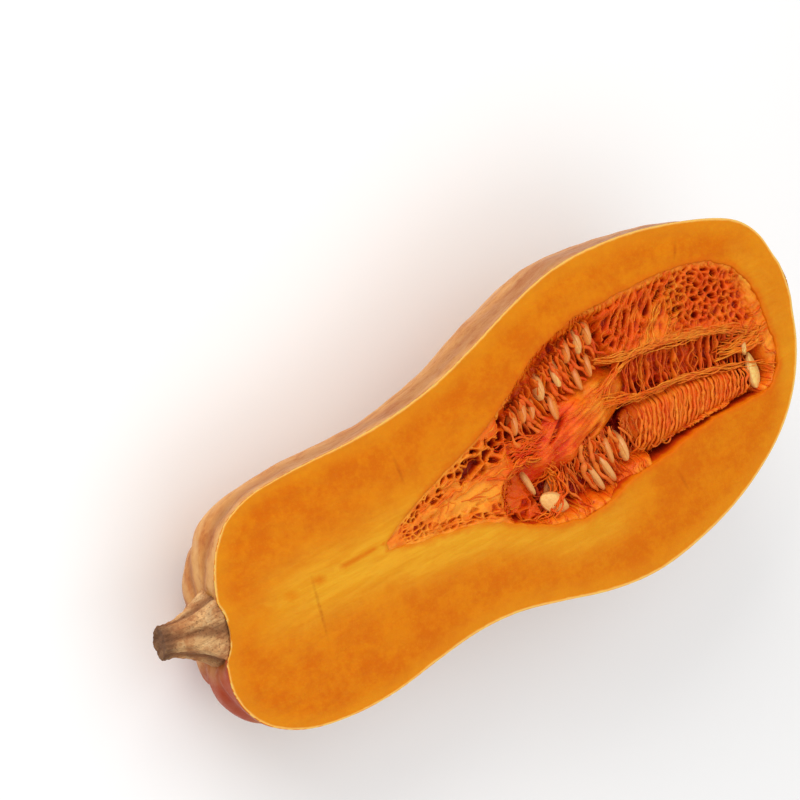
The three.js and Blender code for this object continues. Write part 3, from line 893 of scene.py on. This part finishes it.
def upper_surface(x, y):
    """The upper mat: slanting partitions at the narrow end, round pits at the wide end."""
    u, v = turned(x, y, 52)
    u = u + 0.9 * ripple_at(x, y, 9, 55)
    long_cells = cell_pattern(u / 8.5, v / 3.1, 6)
    round_cells = cell_pattern(x / 3.4 + 0.2 * ripple_at(x, y, 4, 56), y / 3.3, 7)
    round_share = smooth_step(222, 242, x)
    wall = long_cells[0] * (1 - round_share) + round_cells[0] * round_share
    value = np.where(round_share > 0.5, round_cells[1], long_cells[1])
    above = y - along(RIDGE, x)
    pit = smooth_step(0.12, 0.5, wall) * (0.45 + 0.75 * value) * smooth_step(1.5, 6, above)
    pit = pit * smooth_step(1.0, 0.9, rim_share(x, y)) * (1 - 0.6 * blob(x, y, 224, 28, 14, 7, 40))
    pit = pit * smooth_step(271, 262, x)
    fine = ripple_at(u * 0.22, v, 1.3, 57)
    z = -0.9 - 1.4 * smooth_step(1.0, 0.7, rim_share(x, y)) - 3.8 * pit + 0.28 * fine
    z = z - 9 * smooth_step(1.5, -5, above) - 8 * smooth_step(203, 195, x)
    tone = 0.38 + 0.17 * blob(x, y, 226, 28, 22, 8, 40) + 0.25 * smooth_step(4, 0, above)
    tone = tone + 0.28 * smooth_step(0.86, 0.99, rim_share(x, y)) - 0.1 * smooth_step(220, 200, x)
    tone = tone + 0.3 * smooth_step(262, 270, x)
    # painted shade in the pits and below the ridge
    return z, np.clip(pit + 0.5 * smooth_step(0, -5, above), 0, 1), tone


def lower_surface(x, y):
    """The lower mat: hoops side by side over a long hump."""
    across = (y - along(LOWER_MAT, x)) / along(LOWER_MAT, x, 2)
    wave = ripple_at(x, y, 10, 58)
    lean = x - 0.42 * (y - along(LOWER_MAT, x)) + 1.6 * across**2 + 0.5 * wave
    hoop = np.abs(np.cos(math.pi * lean / HOOP_PITCH))
    gap = smooth_step(0.62, 0.05, hoop) * (0.6 + 0.4 * np.sin(lean * 0.9))
    z = -2.8 - 9 * np.clip(np.abs(across), 0, 1.2) ** 4.5 - 1.9 * gap
    ends = smooth_step(206, 198, x) + smooth_step(248, 256, x)
    z = z - 6 * ends
    # painted shade in the gaps between the hoops and down the mat's sides
    return z, np.clip(0.85 * gap + 0.45 * smooth_step(0.6, 1.05, np.abs(across)), 0, 1), 0.45 + 0.1 * wave


def bed_surface(x, y):
    """The floor of the cavity: high by the walls, deep in its hollows."""
    soft = ripple_at(x, y, 9, 59)
    share = np.maximum(rim_share(x, y), smooth_step(250, 272, x))
    z = -14.5 + 13.3 * smooth_step(0.72, 0.97, share)
    for target, strength, oval in HOLLOWS:
        mask = strength * blob(x, y, *oval)
        z = z * (1 - mask) + target * mask
    below = along(LOWER_MAT, x) - along(LOWER_MAT, x, 2)
    gap = smooth_step(below + 2.5, below + 1.0, y) * smooth_step(199, 206, x) * smooth_step(262, 256, x)
    z = z * (1 - gap) - 12 * gap
    wall, value = cell_pattern(x / 4.2 + 0.25 * soft, y / 4.6, 8)
    pit = smooth_step(0.1, 0.5, wall) * value
    z = z - (2.4 * pit - 0.6 * soft) * smooth_step(1.0, 0.9, share) + 0.25 * ripple_at(x, y, 1.8, 60)
    # painted shade in the pits, in the deep parts and in the gap below the lower mat
    sunk = 0.75 * pit * smooth_step(1.0, 0.88, share) + smooth_step(-7, -15, z) * 0.75 - 0.15 + gap
    tone = 0.15 + 0.3 * smooth_step(-12, -4, z) + 0.3 * smooth_step(-4, -1.5, z)
    return z, np.clip(sunk, 0, 1), tone


# The pulp stays a little under the cut face.
HIGHEST_PATCH = -0.15
HIGHEST_STRAND = -0.3
STRAND_STEP = 0.9  # distance between the rings of a strand
THINNEST = 0.12  # least radius of a strand


def drawn(rng, given):
    """A number as it is, or one drawn between the two of a pair."""
    return rng.uniform(*given) if isinstance(given, tuple) else given


class PulpMass(Shell):
    """One mass of pulp: closed patches of a surface with strands over them."""

    def __init__(self, seed):
        super().__init__("sunk", "tone", "tan")
        self.rng = np.random.default_rng(seed)

    def patch(self, surface, x, low, high, step, floor):
        """A closed patch of a surface between two lines over x, down to a floor."""
        rows = int(max(np.max(high - low) / step, 4))
        share = np.linspace(0, 1, rows)[None]
        px = np.broadcast_to(x[:, None], (len(x), rows))
        py = low[:, None] * (1 - share) + high[:, None] * share
        z, sunk, tone = surface(px, py)
        z = np.minimum(z, HIGHEST_PATCH)
        under = np.minimum(floor, z.min(1, keepdims=True) - 1)
        top = np.stack([px, py, z], -1)
        # the underside needs only three points across
        back = [rows - 1, rows // 2, 0]
        bottom = np.stack([px[:, back], py[:, back], np.broadcast_to(under, (len(x), 3))], -1)
        ring = np.concatenate([top, bottom], 1)
        # the underside gets full painted shade and the reddest tone
        pad = np.zeros((len(x), 3))
        sunk, tone = np.concatenate([sunk, pad + 1], 1), np.concatenate([tone, pad], 1)
        start = self.count
        self.grid(ring, around=True, flip=True, sunk=sunk, tone=tone)
        self.close(ring.shape[1], start)

    def strand(
        self, points, radius, seed, wander=0.5, over=None, lift=0.2, sides=5, tall=1.0, tone=0.0, tan=0.0,
    ):
        """A wavering strand through points. over is the surface it lies on, lift its height above it.

        radius, tall, tone and tan are numbers, or pairs to draw a number between, in that order.
        """
        radius, tall, tone, tan = (drawn(self.rng, given) for given in (radius, tall, tone, tan))
        points = np.array(points, float)
        length = np.linalg.norm(np.diff(points, axis=0), axis=1).sum()
        path = spline(points, int(length / STRAND_STEP) + 5)
        run = np.linspace(0, length, len(path))[:, None]
        ends = np.sin(np.linspace(0, math.pi, len(path))) ** 0.5
        for axis in range(3):
            sway = wander * ends * ripple(run, 5.0, seed * 3 + axis, 6)
            path[:, axis] += sway * (0.6 if axis == 2 else 1)
        if over:
            path[:, 2] = np.minimum(over(path[:, 0], path[:, 1])[0] + lift, HIGHEST_STRAND)
        thick = radius * (0.8 + 0.25 * ripple(run, 3.0, seed + 900, 6)) * (0.45 + 0.55 * ends)
        path[:, 2] = np.minimum(path[:, 2], HIGHEST_STRAND - radius * tall)
        self.tube(path, np.maximum(thick, THINNEST), sides, tall, tone=tone, tan=tan)

    def finish(self, node):
        self.build(node + "_fine", [PULP], [node], "pulp")


def at(table, x, column=1):
    """One value of a table's column, as a plain number."""
    return float(along(table, x, column))


def inside(points, limit):
    """True where every point is nearer the cavity's middle than limit, where 1 is its rim."""
    return max(rim_share(p[0], p[1]) for p in points) < limit


def make_web():
    pulp = PulpMass(61)
    rng = pulp.rng
    x = np.linspace(78.3, 149, 200)
    middle, half = along(CAVITY, x), along(CAVITY, x, 2) + 0.7
    pulp.patch(web_surface, x, middle - half, middle + half, 0.34, -4.5)
    lines = [
        ([(93, -2.5), (112, -4.5), (128, -9.5), (141, -13)], 0.55, 0.62),
        ([(98, -3.5), (118, -7.5), (134, -14)], 0.4, 0.6),
        ([(84, 2.4), (104, 7.5), (124, 14), (140, 20)], 0.5, 0.6),
        ([(90, 1.8), (108, 5.5), (126, 7.5), (148, 10)], 0.5, 0.55),
        ([(112, 3.5), (126, 5.5), (140, 4.5)], 0.4, 0.7),
        ([(128, 4.5), (137, 1), (141, -6)], 0.6, 0.35),
        ([(116, 8), (124, 8.8), (133, 12)], 0.5, 0.55),
        ([(117, 9.5), (122, 14.2), (131, 16)], 0.45, 0.6),
    ]
    # the net's thicker strands
    for index, (points, radius, tone) in enumerate(lines):
        points = [(px, py, 0) for px, py in points]
        pulp.strand(points, radius, 100 + index, 0.5, web_surface, 0.15, 6, tone=tone)
    # fine strands lying along it
    for index in range(70):
        sx = rng.uniform(92, 143)
        across = rng.uniform(-0.85, 0.95)
        sy = at(CAVITY, sx) + across * at(CAVITY, sx, 2)
        a = rng.normal(0.15, 0.5)
        reach = rng.uniform(2.5, 7) * (0.4 + (sx - 80) / 90)
        points = [(sx + s * reach * math.cos(a), sy + s * reach * math.sin(a), 0) for s in (-1, 0, 1)]
        if inside(points, 0.97):
            pulp.strand(points, (0.16, 0.34), 200 + index, 0.4, web_surface, 0.1, 5, tone=(0.35, 0.85))
    # a ring round the larger hole near the core
    for radius, seed in ((2.5, 1), (2.9, 2)):
        turn = np.linspace(0, 2 * math.pi, 14)
        loop = [(136 + radius * math.cos(t), 16.5 + 0.9 * radius * math.sin(t), 0) for t in turn]
        pulp.strand(loop, 0.45, 300 + seed, 0.15, web_surface, 0.35, 6, tone=0.6)
    pulp.finish("pulp_neck_web")


def make_core():
    pulp = PulpMass(62)
    rng = pulp.rng
    x = np.linspace(143.5, 205.5, 165)
    # the core's outline, from the oval it is built on
    reach = np.sqrt(np.clip(1 - ((x - 174.8) / 32.5) ** 2, 0.01, 1))
    middle = 7.0 + 0.26 * (x - 174.5)
    pulp.patch(core_surface, x, middle - 14.5 * reach, middle + 14.5 * reach, 0.36, -17)
    # fibres along the core, closing in towards its ends
    for index in range(44):
        v = rng.normal(0, 6.5)
        start, reach = rng.uniform(-27, 18), rng.uniform(6, 18)
        points = []
        for u in np.linspace(start, min(start + reach, 27), 4):
            w = v * math.sqrt(max(1.2 - (u / 28) ** 2, 0.25))
            points.append((176.5 + 0.966 * u - 0.259 * w, 7.5 + 0.259 * u + 0.966 * w, 0))
        tone = 0.12 + 0.45 * smooth_step(165, 190, points[1][0]) + rng.uniform(-0.08, 0.16)
        pulp.strand(points, (0.14, 0.34), 400 + index, 0.5, core_surface, 0.0, 5, tone=tone)
    # strands running from the net to the core, and from the core to the ridge and the slit
    for index in range(26):
        y0, y1 = rng.uniform(0, 14), rng.uniform(0.5, 12)
        start, stop = rng.uniform(134, 142), rng.uniform(158, 168)
        points = [(start, y0, -3.6), (150, 0.6 * y0 + 0.4 * y1 + 1, -4.4), (stop, y1, -3.4)]
        pulp.strand(points, (0.25, 0.55), 600 + index, 0.5, tone=(0.05, 0.35))
    for index in range(24):
        y0 = rng.uniform(8, 17)
        goal = RIDGE if index % 2 else SLIT
        far = rng.uniform(203, 214)
        points = [(rng.uniform(180, 191), y0, -2.8), (198, 0.45 * y0 + 0.55 * at(goal, 198), -2.4)]
        points.append((far, at(goal, far) + rng.normal(0, 0.7), -2.6))
        pulp.strand(points, (0.2, 0.45), 640 + index, 0.4, tone=(0.35, 0.7))
    pulp.finish("pulp_core")


def make_upper_mat():
    pulp = PulpMass(63)
    rng = pulp.rng
    x = np.linspace(194.5, 273.5, 205)
    low = along(RIDGE, x) - 2.4
    high = along(CAVITY, x) + along(CAVITY, x, 2) + 0.9
    pulp.patch(upper_surface, x, low, high, 0.4, -10)
    # partitions and fibres leaning towards the blossom end
    for index in range(330):
        sx = rng.uniform(197, 268)
        sy = rng.uniform(at(RIDGE, sx) - 1, at(CAVITY, sx) + at(CAVITY, sx, 2) - 1)
        lean = math.radians(rng.normal(54 if sx < 242 else 62, 13 if sx < 242 else 36))
        reach = rng.uniform(2.0, 6.5) * (1.0 if sx < 240 else 0.55)
        points = [
            (sx + s * reach * math.cos(lean) + rng.normal(0, 0.4), sy + s * reach * math.sin(lean), 0)
            for s in (-1, 0, 1)
        ]
        below_ridge = min(p[1] - at(RIDGE, p[0]) for p in points) <= -1.5
        if below_ridge or not inside(points, 0.97) or points[-1][0] > 270:
            continue
        near = blob(sx, sy, 226, 28, 24, 9, 40)
        tone = 0.34 + 0.36 * float(near) + rng.uniform(-0.12, 0.2)
        pulp.strand(points, (0.18, 0.4), 700 + index, 0.45, upper_surface, 0.35, 5, tone=tone)
    # the bright ridge, a rope of loose strands
    for index in range(46):
        start = rng.uniform(189, 236)
        stop = min(start + rng.uniform(18, 48), 270)
        xs = np.linspace(start, stop, 6)
        off = rng.normal(0, 1.0)
        points = []
        for px in xs:
            py = at(RIDGE, px) + off + rng.normal(0, 0.5)
            points.append((px, py, -1.8 - abs(rng.normal(0, 0.8))))
        pulp.strand(points, (0.18, 0.42), 1100 + index, 0.36, tone=(0.45, 0.85), tan=0.15)
    pulp.finish("pulp_upper_lobe")


def make_lower_mat():
    pulp = PulpMass(64)
    rng = pulp.rng
    x = np.linspace(197.5, 256, 235)
    middle, half = along(LOWER_MAT, x), along(LOWER_MAT, x, 2)
    reach = np.sqrt(np.clip(1 - ((x - 231) / 35.5) ** 4, 0.02, 1)) * half * 1.03
    pulp.patch(lower_surface, x, middle - reach, middle + reach, 0.4, -15)
    for index in range(50):
        main = index % 2 == 0
        stray = rng.uniform(-0.3, 0.3) if main else rng.uniform(-1.1, 1.1)
        hoop_x = 201 + 0.5 * index * HOOP_PITCH + stray
        span = rng.uniform(0.85, 1.02) if main else rng.uniform(0.3, 0.8)
        shift = rng.uniform(-0.08, 0.08) if main else rng.uniform(-0.3, 0.4)
        points = []
        for across in np.linspace(-span + shift, span + shift, 7):
            dy = across * at(LOWER_MAT, hoop_x, 2)
            px = hoop_x + 0.42 * dy - 1.6 * across**2
            lifted = -2.5 - 8.5 * min(abs(across), 1.1) ** 4.2
            points.append((px, at(LOWER_MAT, hoop_x) + dy, lifted + rng.uniform(-0.2, 0.4)))
        radius = (0.55, 0.8) if main else (0.22, 0.4)
        pulp.strand(points, radius, 1300 + index, 0.3, sides=7, tone=(0.38, 0.68), tan=0.12)
    # cells at the narrow end
    cells = [(204, -6, 3.4), (207, -13, 2.8), (212, -14.5, 2.4), (200, -12, 2.4)]
    for index, (cx, cy, radius) in enumerate(cells):
        turn = np.linspace(0, 2 * math.pi, 12)
        pz = -4.0 - 0.3 * radius
        loop = [(cx + radius * math.cos(t), cy + 1.1 * radius * math.sin(t), pz) for t in turn]
        pulp.strand(loop, 0.5, 1400 + index, 0.35, tone=0.55, tan=0.3)
    # the long strands between this mat and the hollow above it
    for index in range(26):
        start = rng.uniform(192, 232)
        xs = np.linspace(start, min(start + rng.uniform(20, 45), 268), 5)
        off = rng.normal(0, 0.8)
        points = [(px, at(SLIT, px) + off, -2.9 - abs(rng.normal(0, 0.8))) for px in xs]
        pulp.strand(points, (0.18, 0.4), 1450 + index, 0.36, tone=(0.4, 0.8), tan=0.15)
    pulp.finish("pulp_lower_lobe")


def in_well(turn, far):
    """Place on an oval round the well's middle. far is 1 on its rim."""
    middle_x, middle_y, half_long, half_wide = WELL
    return middle_x + half_long * far * math.cos(turn), middle_y + half_wide * far * math.sin(turn)


def lay_rim_fibres(pulp, rng):
    """Fibres from the rim down the wall, fewer beside the upper mat."""
    outline = cavity_outline()
    for index in range(260):
        start = outline[rng.integers(len(outline))]
        if start[0] < 138:
            continue
        if start[1] > 20 and start[0] > 200 and rng.uniform() < 0.75:
            continue
        inwards = np.array(BULB_MIDDLE) - start
        inwards[0] = np.clip(inwards[0], -14, 14)
        inwards /= np.linalg.norm(inwards)
        side = np.array([-inwards[1], inwards[0]]) * rng.normal(0, 0.35)
        reach = rng.uniform(4, 12)
        points = []
        for share in (0.05, 0.3, 0.65, 1.0):
            points.append((*(start + (inwards + side * share) * reach * share), 0))
        tone = rng.uniform(0.3, 0.7)  # drawn before the radius
        pulp.strand(points, (0.25, 0.6), 1600 + index, 0.6, bed_surface, 0.4, 5, tone=tone)


def lay_hollow_strands(pulp, rng):
    """Strands across the hollow between the two mats, every third one a thin wall."""
    for index in range(48):
        cx = 199 + index * 1.34 + rng.uniform(-0.7, 0.7)
        top, low = at(RIDGE, cx + 3) - 0.4, at(SLIT, cx - 1)
        sag = rng.uniform(-7.5, -4.8)
        points = [(cx + 3.0, top, -2.8), (cx + 1.9, top * 0.7 + low * 0.3, sag)]
        points += [(cx + rng.normal(0.2, 0.8), top * 0.3 + low * 0.7, sag - 1), (cx - 1.5, low, -5)]
        wall = index % 3 == 0
        radius = (0.35, 0.55) if wall else (0.2, 0.4)
        tall = 3.5 if wall else 1.0
        pulp.strand(points, radius, 1900 + index, 0.6, None, 0, 7, tall, tone=(0.2, 0.5), tan=(0, 0.2))
    # loose strands at the blossom end
    for index in range(30):
        sy = rng.uniform(2, 10)
        points = [(rng.uniform(267, 272), sy, -1.8), (262, sy * 0.9 + rng.normal(0, 1), -3.4)]
        points.append((rng.uniform(246, 256), sy * 0.6 + rng.normal(3, 2), rng.uniform(-7, -4)))
        pulp.strand(points, (0.25, 0.6), 1970 + index, 0.6, tone=(0.35, 0.85))


def lay_well_net(pulp, rng):
    """The torn net round the well and down into it."""
    for index in range(84):
        turn = rng.uniform(0, 2 * math.pi)
        sweep = rng.uniform(0.5, 1.6)
        far = rng.uniform(0.78, 1.12)
        bend = [in_well(t, far * rng.uniform(0.92, 1.08)) for t in np.linspace(turn, turn + sweep, 5)]
        depth = -3.2 - 5 * max(0.0, 1.0 - far) * 4
        points = [(px, py, depth - rng.uniform(0, 1.2)) for px, py in bend]
        if inside(points, 1.0):
            pulp.strand(points, (0.25, 0.65), 2000 + index, 0.7, tone=(0.3, 0.65))
    for index in range(34):
        turn = rng.uniform(0, 2 * math.pi)
        points = [
            (*in_well(turn + rng.normal(0, 0.16), far), depth)
            for far, depth in ((1.02, -3.4), (0.75, -7), (0.45, -11.5), (0.2, -13))
        ]
        if inside(points[:1], 1.0):
            pulp.strand(points, (0.2, 0.5), 2100 + index, 0.6, tone=(0.15, 0.45))


def lay_strands_below_core(pulp, rng):
    """Tan straps and torn strands hanging below the core."""
    straps = [
        ([(174, 2, -5), (173, -5, -5.5), (172.5, -13, -7), (176, -22, -8)], 1.5, 0.5),
        ([(179, 0, -5), (177.5, -7, -5.5), (179, -15, -7), (184, -24, -7)], 1.2, 0.4),
        ([(183, -1, -5.5), (184, -8, -6), (187, -16, -8), (188, -22, -8)], 0.9, 0.3),
        ([(189, 0, -5), (190, -7, -6), (194, -14, -8)], 1.1, 0.4),
        ([(171, -1, -6), (166, -8, -9), (165, -17, -9), (168, -24, -7)], 0.8, 0.3),
        ([(193, -2, -5), (197, -8, -6), (199, -15, -8)], 0.7, 0.3),
    ]
    for index, (points, radius, tan) in enumerate(straps):
        pulp.strand(points, radius, 2200 + index, 0.5, sides=9, tone=0.5, tan=tan)
    for index in range(70):
        sx = rng.uniform(163, 202)
        lean = rng.normal(0.25, 0.3)
        points = [(sx, rng.uniform(-4, 2), -5.5), (sx + 6 * lean, -9, -8)]
        points.append((sx + 13 * lean, rng.uniform(-22, -14), -10))
        if inside(points[-1:], 0.97):
            pulp.strand(points, (0.2, 0.5), 2250 + index, 0.8, tone=(0.2, 0.6), tan=(0, 0.5))


def lay_strands_round_seeds(pulp, rng):
    """Straps, thin walls and fine fibres between the seeds."""
    # straps of film between and over the upper row
    for index in range(15):
        share = (index + rng.uniform(-0.3, 0.3)) / 14
        sx, sy = 147 + 46 * share, 13 + 20 * share
        lean = rng.normal(0.1, 0.18)
        points = [(sx + 8 * lean - 2, sy + 9.5, -3.4), (sx + 2 * lean, sy + 4, -4.2)]
        points += [(sx + 2, sy - 2, -5), (sx + 6, sy - 7, -5)]
        if inside(points[:1], 0.97):
            pulp.strand(points, (0.7, 1.4), 2350 + index, 0.7, sides=9, tone=(0.15, 0.5), tan=(0, 0.35))
    # thin walls between the seeds of that row
    for index in range(26):
        share = (index + rng.uniform(-0.25, 0.25)) / 25
        sx, sy = 149 + 45 * share, 15 + 21 * share
        lean = rng.normal(0.12, 0.12)
        points = [(sx + 9 * lean - 1.5, sy + 9.5, -5), (sx + 3 * lean, sy + 3, -5.6)]
        points.append((sx + 3.5, sy - 6, -6.2))
        if inside(points[:1], 0.97):
            pulp.strand(
                points, (0.28, 0.42), 2700 + index, 0.8, sides=10, tall=(4, 7),
                tone=(0.2, 0.55), tan=(0, 0.2),
            )
    # thin walls among the seeds below the core
    for index in range(12):
        sx = 168 + 2.6 * index + rng.uniform(-0.7, 0.7)
        points = [(sx - 2, 0, -6.5), (sx + rng.normal(0, 1), -9, -7)]
        points.append((sx + 4 + rng.normal(0, 1), -20, -7.5))
        if inside(points[-1:], 0.97):
            pulp.strand(
                points, (0.28, 0.4), 2740 + index, 0.8, sides=10, tall=(4, 6.5),
                tone=(0.15, 0.45), tan=(0, 0.2),
            )
    # fine fibres round the upper row
    for index in range(150):
        share = rng.uniform(0, 1)
        sx, sy = 148 + 46 * share, 17 + 22 * share
        drop = rng.normal(0.1, 0.25)
        points = [(sx, sy + rng.uniform(2, 7), 0), (sx + 2 + drop * 4, sy - 5, 0), (sx + 7, sy - 13, 0)]
        if inside(points[:1], 0.96):
            pulp.strand(points, (0.3, 0.75), 2400 + index, 0.7, bed_surface, 0.5, 5, tone=(0.2, 0.6))


def make_bed():
    pulp = PulpMass(65)
    x = np.linspace(141, 273.5, 218)
    middle, half = along(CAVITY, x), along(CAVITY, x, 2) + 0.8
    close = np.sqrt(np.clip(1 - 0.75 * np.clip((x - 262) / 12, 0, 1) ** 3, 0.05, 1))
    pulp.patch(bed_surface, x, middle - half * close, middle + half * close, 0.6, -24)
    lay_rim_fibres(pulp, pulp.rng)
    lay_hollow_strands(pulp, pulp.rng)
    lay_well_net(pulp, pulp.rng)
    lay_strands_below_core(pulp, pulp.rng)
    lay_strands_round_seeds(pulp, pulp.rng)
    pulp.finish("pulp_bed")


make_web()
make_core()
make_upper_mat()
make_lower_mat()
make_bed()

# ------------------------------------------------------------------ seeds


def make_seed_material(name, coat_colour, film):
    """Cream seed coat with a darker rim line, under a thin film of orange pulp."""
    material, g, shader = new_material(
        name, 0.34, 0.3, under=0.12, under_colour=(1.0, 0.6, 0.35), coat=0.08,
    )
    where = g.position()
    lines = g.noise(where, 900.0, 3.0, 0.6, 0.5)
    colour = g.tint(coat_colour, lines, 0.35, 0.7, 0.5, (222, 142, 66))
    colour = g.tint(colour, g.value("rim"), 0.45, 0.85, 0.6, (196, 116, 58))
    wrap = g.maths("ADD", g.noise(where, 170.0, 4.0, 0.6, 0.6), g.value("wrap"))
    colour = g.tint(colour, wrap, film, film + 0.25, 0.8, (206, 82, 24))
    g.feed(shader.inputs["Base Color"], colour)
    g.feed(shader.inputs["Roughness"], g.spread(lines, 0.3, 0.7, 0.24, 0.44))
    relief = g.use(RELIEF, "Height", Vector=where, Lumps=600.0, Grains=2000.0, Grain_share=0.2)
    set_bump(g, shader, relief, 0.3, 0.0003)
    return material


SEED_COAT = make_seed_material("seed", srgb(246, 194, 112), 0.62)
SEED_FILMED = make_seed_material("seed_in_film", srgb(240, 158, 72), 0.5)
SEED_WRAPPED = make_seed_material("seed_wrapped", srgb(236, 140, 56), 0.42)
SEED_PALE = make_seed_material("seed_pale", srgb(242, 206, 118), 0.8)
UPPER_ROW = 11  # seeds in the row along the far rim, which come first
BLOSSOM_SEEDS_FROM = 18
BARE_SEEDS = (3, 5, 8, 10)  # seeds of the upper row without a wrap of film


def seed_frame(node):
    """Middle, half sizes and axes of a seed node: X towards the blunt end, Z through its thickness."""
    corners = np.unique([tuple(v.co) for v in frame["nodes"][node].data.vertices], axis=0)
    middle = corners.mean(0)
    axes = np.linalg.eigh(np.cov((corners - middle).T))[1][:, ::-1].T
    local = (corners - middle) @ axes.T
    low, high = local.min(0), local.max(0)
    quarter = 0.25 * (high - low)[0]
    width_at_low = np.ptp(local[local[:, 0] < low[0] + quarter, 1])
    width_at_high = np.ptp(local[local[:, 0] > high[0] - quarter, 1])
    if width_at_low > width_at_high:
        axes[0], axes[1] = -axes[0], -axes[1]
    if np.dot(np.cross(axes[0], axes[1]), axes[2]) < 0:
        axes[2] = -axes[2]
    local = (corners - middle) @ axes.T
    low, high = local.min(0), local.max(0)
    return middle + ((low + high) / 2) @ axes, (high - low) / 2, axes


SEED_ALONG, SEED_AROUND = 45, 48  # points along a seed and round it


def make_seed(node, material, seed):
    """A flat oval seed with a raised rim and a pointed tip."""
    middle, half, axes = seed_frame(node)
    rng = np.random.default_rng(seed)
    along_seed = -np.cos(np.linspace(0, math.pi, SEED_ALONG))
    blunt = np.sqrt(np.clip(1 - along_seed**2, 0, 1))
    taper = 1 - 0.32 * smooth_step(0.1, -1, along_seed)
    wide = np.maximum(blunt * taper, 0.012) * rng.uniform(0.95, 1.0)
    turn = np.linspace(0, 2 * math.pi, SEED_AROUND, endpoint=False)
    across, through = np.cos(turn), np.sin(turn)
    rim = smooth_step(0.72, 0.9, np.abs(across))
    groove = np.exp(-(((np.abs(across) - 0.8) / 0.07) ** 2))
    raised = 0.24 * rim * smooth_step(1.0, 0.9, np.abs(across))
    thick = np.abs(through) ** 0.85 * (1 - 0.2 * groove) + raised
    body_y = wide[:, None] * across[None]
    body_z = (wide[:, None] ** 0.8) * (np.sign(through) * np.clip(thick, 0, 1))[None]
    local = np.stack([np.broadcast_to(along_seed[:, None], body_y.shape), body_y, body_z], -1) * half
    local[..., 2] += 0.05 * half[2] * ripple(local.reshape(-1, 3) * 1000, 5, seed).reshape(body_y.shape)
    points = middle + local @ axes
    shell = Shell("rim", "wrap")
    shell.grid(
        to_fruit(points), around=True, rim=np.broadcast_to(rim[None], body_y.shape),
        wrap=np.broadcast_to((-0.25 * along_seed - 0.08)[:, None], body_y.shape),
    )
    shell.close(SEED_AROUND, 0)
    shell.build(node + "_fine", [material], [node], "seed", weld=SEED_WELD)


def make_seeds():
    nodes = sorted(name for name in frame["nodes"] if name.startswith("seed_"))
    for index, node in enumerate(nodes):
        material = SEED_COAT
        if index >= BLOSSOM_SEEDS_FROM:
            material = SEED_PALE
        elif index < UPPER_ROW and index not in BARE_SEEDS:
            material = SEED_WRAPPED
        elif index % 3 == 1:
            material = SEED_FILMED
        make_seed(node, material, 2600 + index)


make_seeds()

# ------------------------------------------------------------------ camera, floor and lights

CAMERA_TURN = math.radians(26)  # towards the stem end
CAMERA_LEAN = math.radians(12)  # towards +Y
AXIS_RISE = math.radians(26.4)  # how steeply the fruit's axis rises in the view
CAMERA_DISTANCE = 1.0
CAMERA_TARGET = (105.0, 48.0, 0.0)
CAMERA_LENS = 120
CAMERA_WIDTH = 36
LIGHTS_AIM = Vector((0, 0, 0.04))
FLOOR_REACH = 6.0


def view_axes():
    """Right, up and back of the camera, in the row frame."""
    back = np.array([-math.sin(CAMERA_TURN), math.sin(CAMERA_LEAN) * math.cos(CAMERA_TURN), 0.0])
    back[2] = math.sqrt(1 - back @ back)
    level = np.array([1.0, 0.0, 0.0]) - back * back[0]
    level /= np.linalg.norm(level)
    across = np.cross(back, level)
    right = level * math.cos(AXIS_RISE) - across * math.sin(AXIS_RISE)
    up = level * math.sin(AXIS_RISE) + across * math.cos(AXIS_RISE)
    return [Vector(axis @ FRUIT_AXES.T) for axis in (right, up, back)]


RIGHT, UP, BACK = view_axes()
TARGET = Vector(to_row(CAMERA_TARGET))


def make_camera():
    data = bpy.data.cameras.new("camera")
    data.lens = CAMERA_LENS
    data.sensor_width = CAMERA_WIDTH
    camera = bpy.data.objects.new("camera", data)
    turn = Matrix((RIGHT, UP, BACK)).transposed().to_4x4()
    camera.matrix_world = Matrix.Translation(TARGET + BACK * CAMERA_DISTANCE) @ turn
    bpy.context.scene.collection.objects.link(camera)
    bpy.context.scene.camera = camera


def make_light(name, direction, distance, size, power, colour=(1, 1, 1)):
    data = bpy.data.lights.new(name, "AREA")
    data.size = size
    data.energy = power
    data.color = colour
    lamp = bpy.data.objects.new(name, data)
    lamp.location = LIGHTS_AIM + direction.normalized() * distance
    lamp.rotation_euler = (LIGHTS_AIM - lamp.location).to_track_quat("-Z", "Y").to_euler()
    bpy.context.scene.collection.objects.link(lamp)


def make_stage():
    mesh = bpy.data.meshes.new("floor")
    corners = [(x * FLOOR_REACH, y * FLOOR_REACH, 0) for x, y in ((-1, -1), (1, -1), (1, 1), (-1, 1))]
    mesh.from_pydata(corners, [], [(0, 1, 2, 3)])
    floor = bpy.data.objects.new("floor", mesh)
    bpy.context.scene.collection.objects.link(floor)
    material, _, shader = new_material("floor", 0.9, 0.2)
    shader.inputs["Base Color"].default_value = (0.95, 0.95, 0.95, 1)
    mesh.materials.append(material)
    make_light("soft_key", UP * 0.9 - RIGHT * 0.35 + BACK * 0.9, 1.1, 0.9, 8.5, (1, 0.985, 0.96))
    make_light("overhead", Vector((0, 0, 1)), 1.4, 1.8, 6)
    make_light("fill", RIGHT * 0.7 - UP * 0.6 + BACK * 0.6, 1.4, 1.4, 3.5)
    world = bpy.data.worlds.new("studio")
    world.use_nodes = True
    sky = world.node_tree.nodes["Background"]
    sky.inputs["Color"].default_value = (1, 1, 1, 1)
    sky.inputs["Strength"].default_value = 0.55
    bpy.context.scene.world = world
    bpy.context.scene.view_settings.view_transform = "Standard"


make_camera()
make_stage()
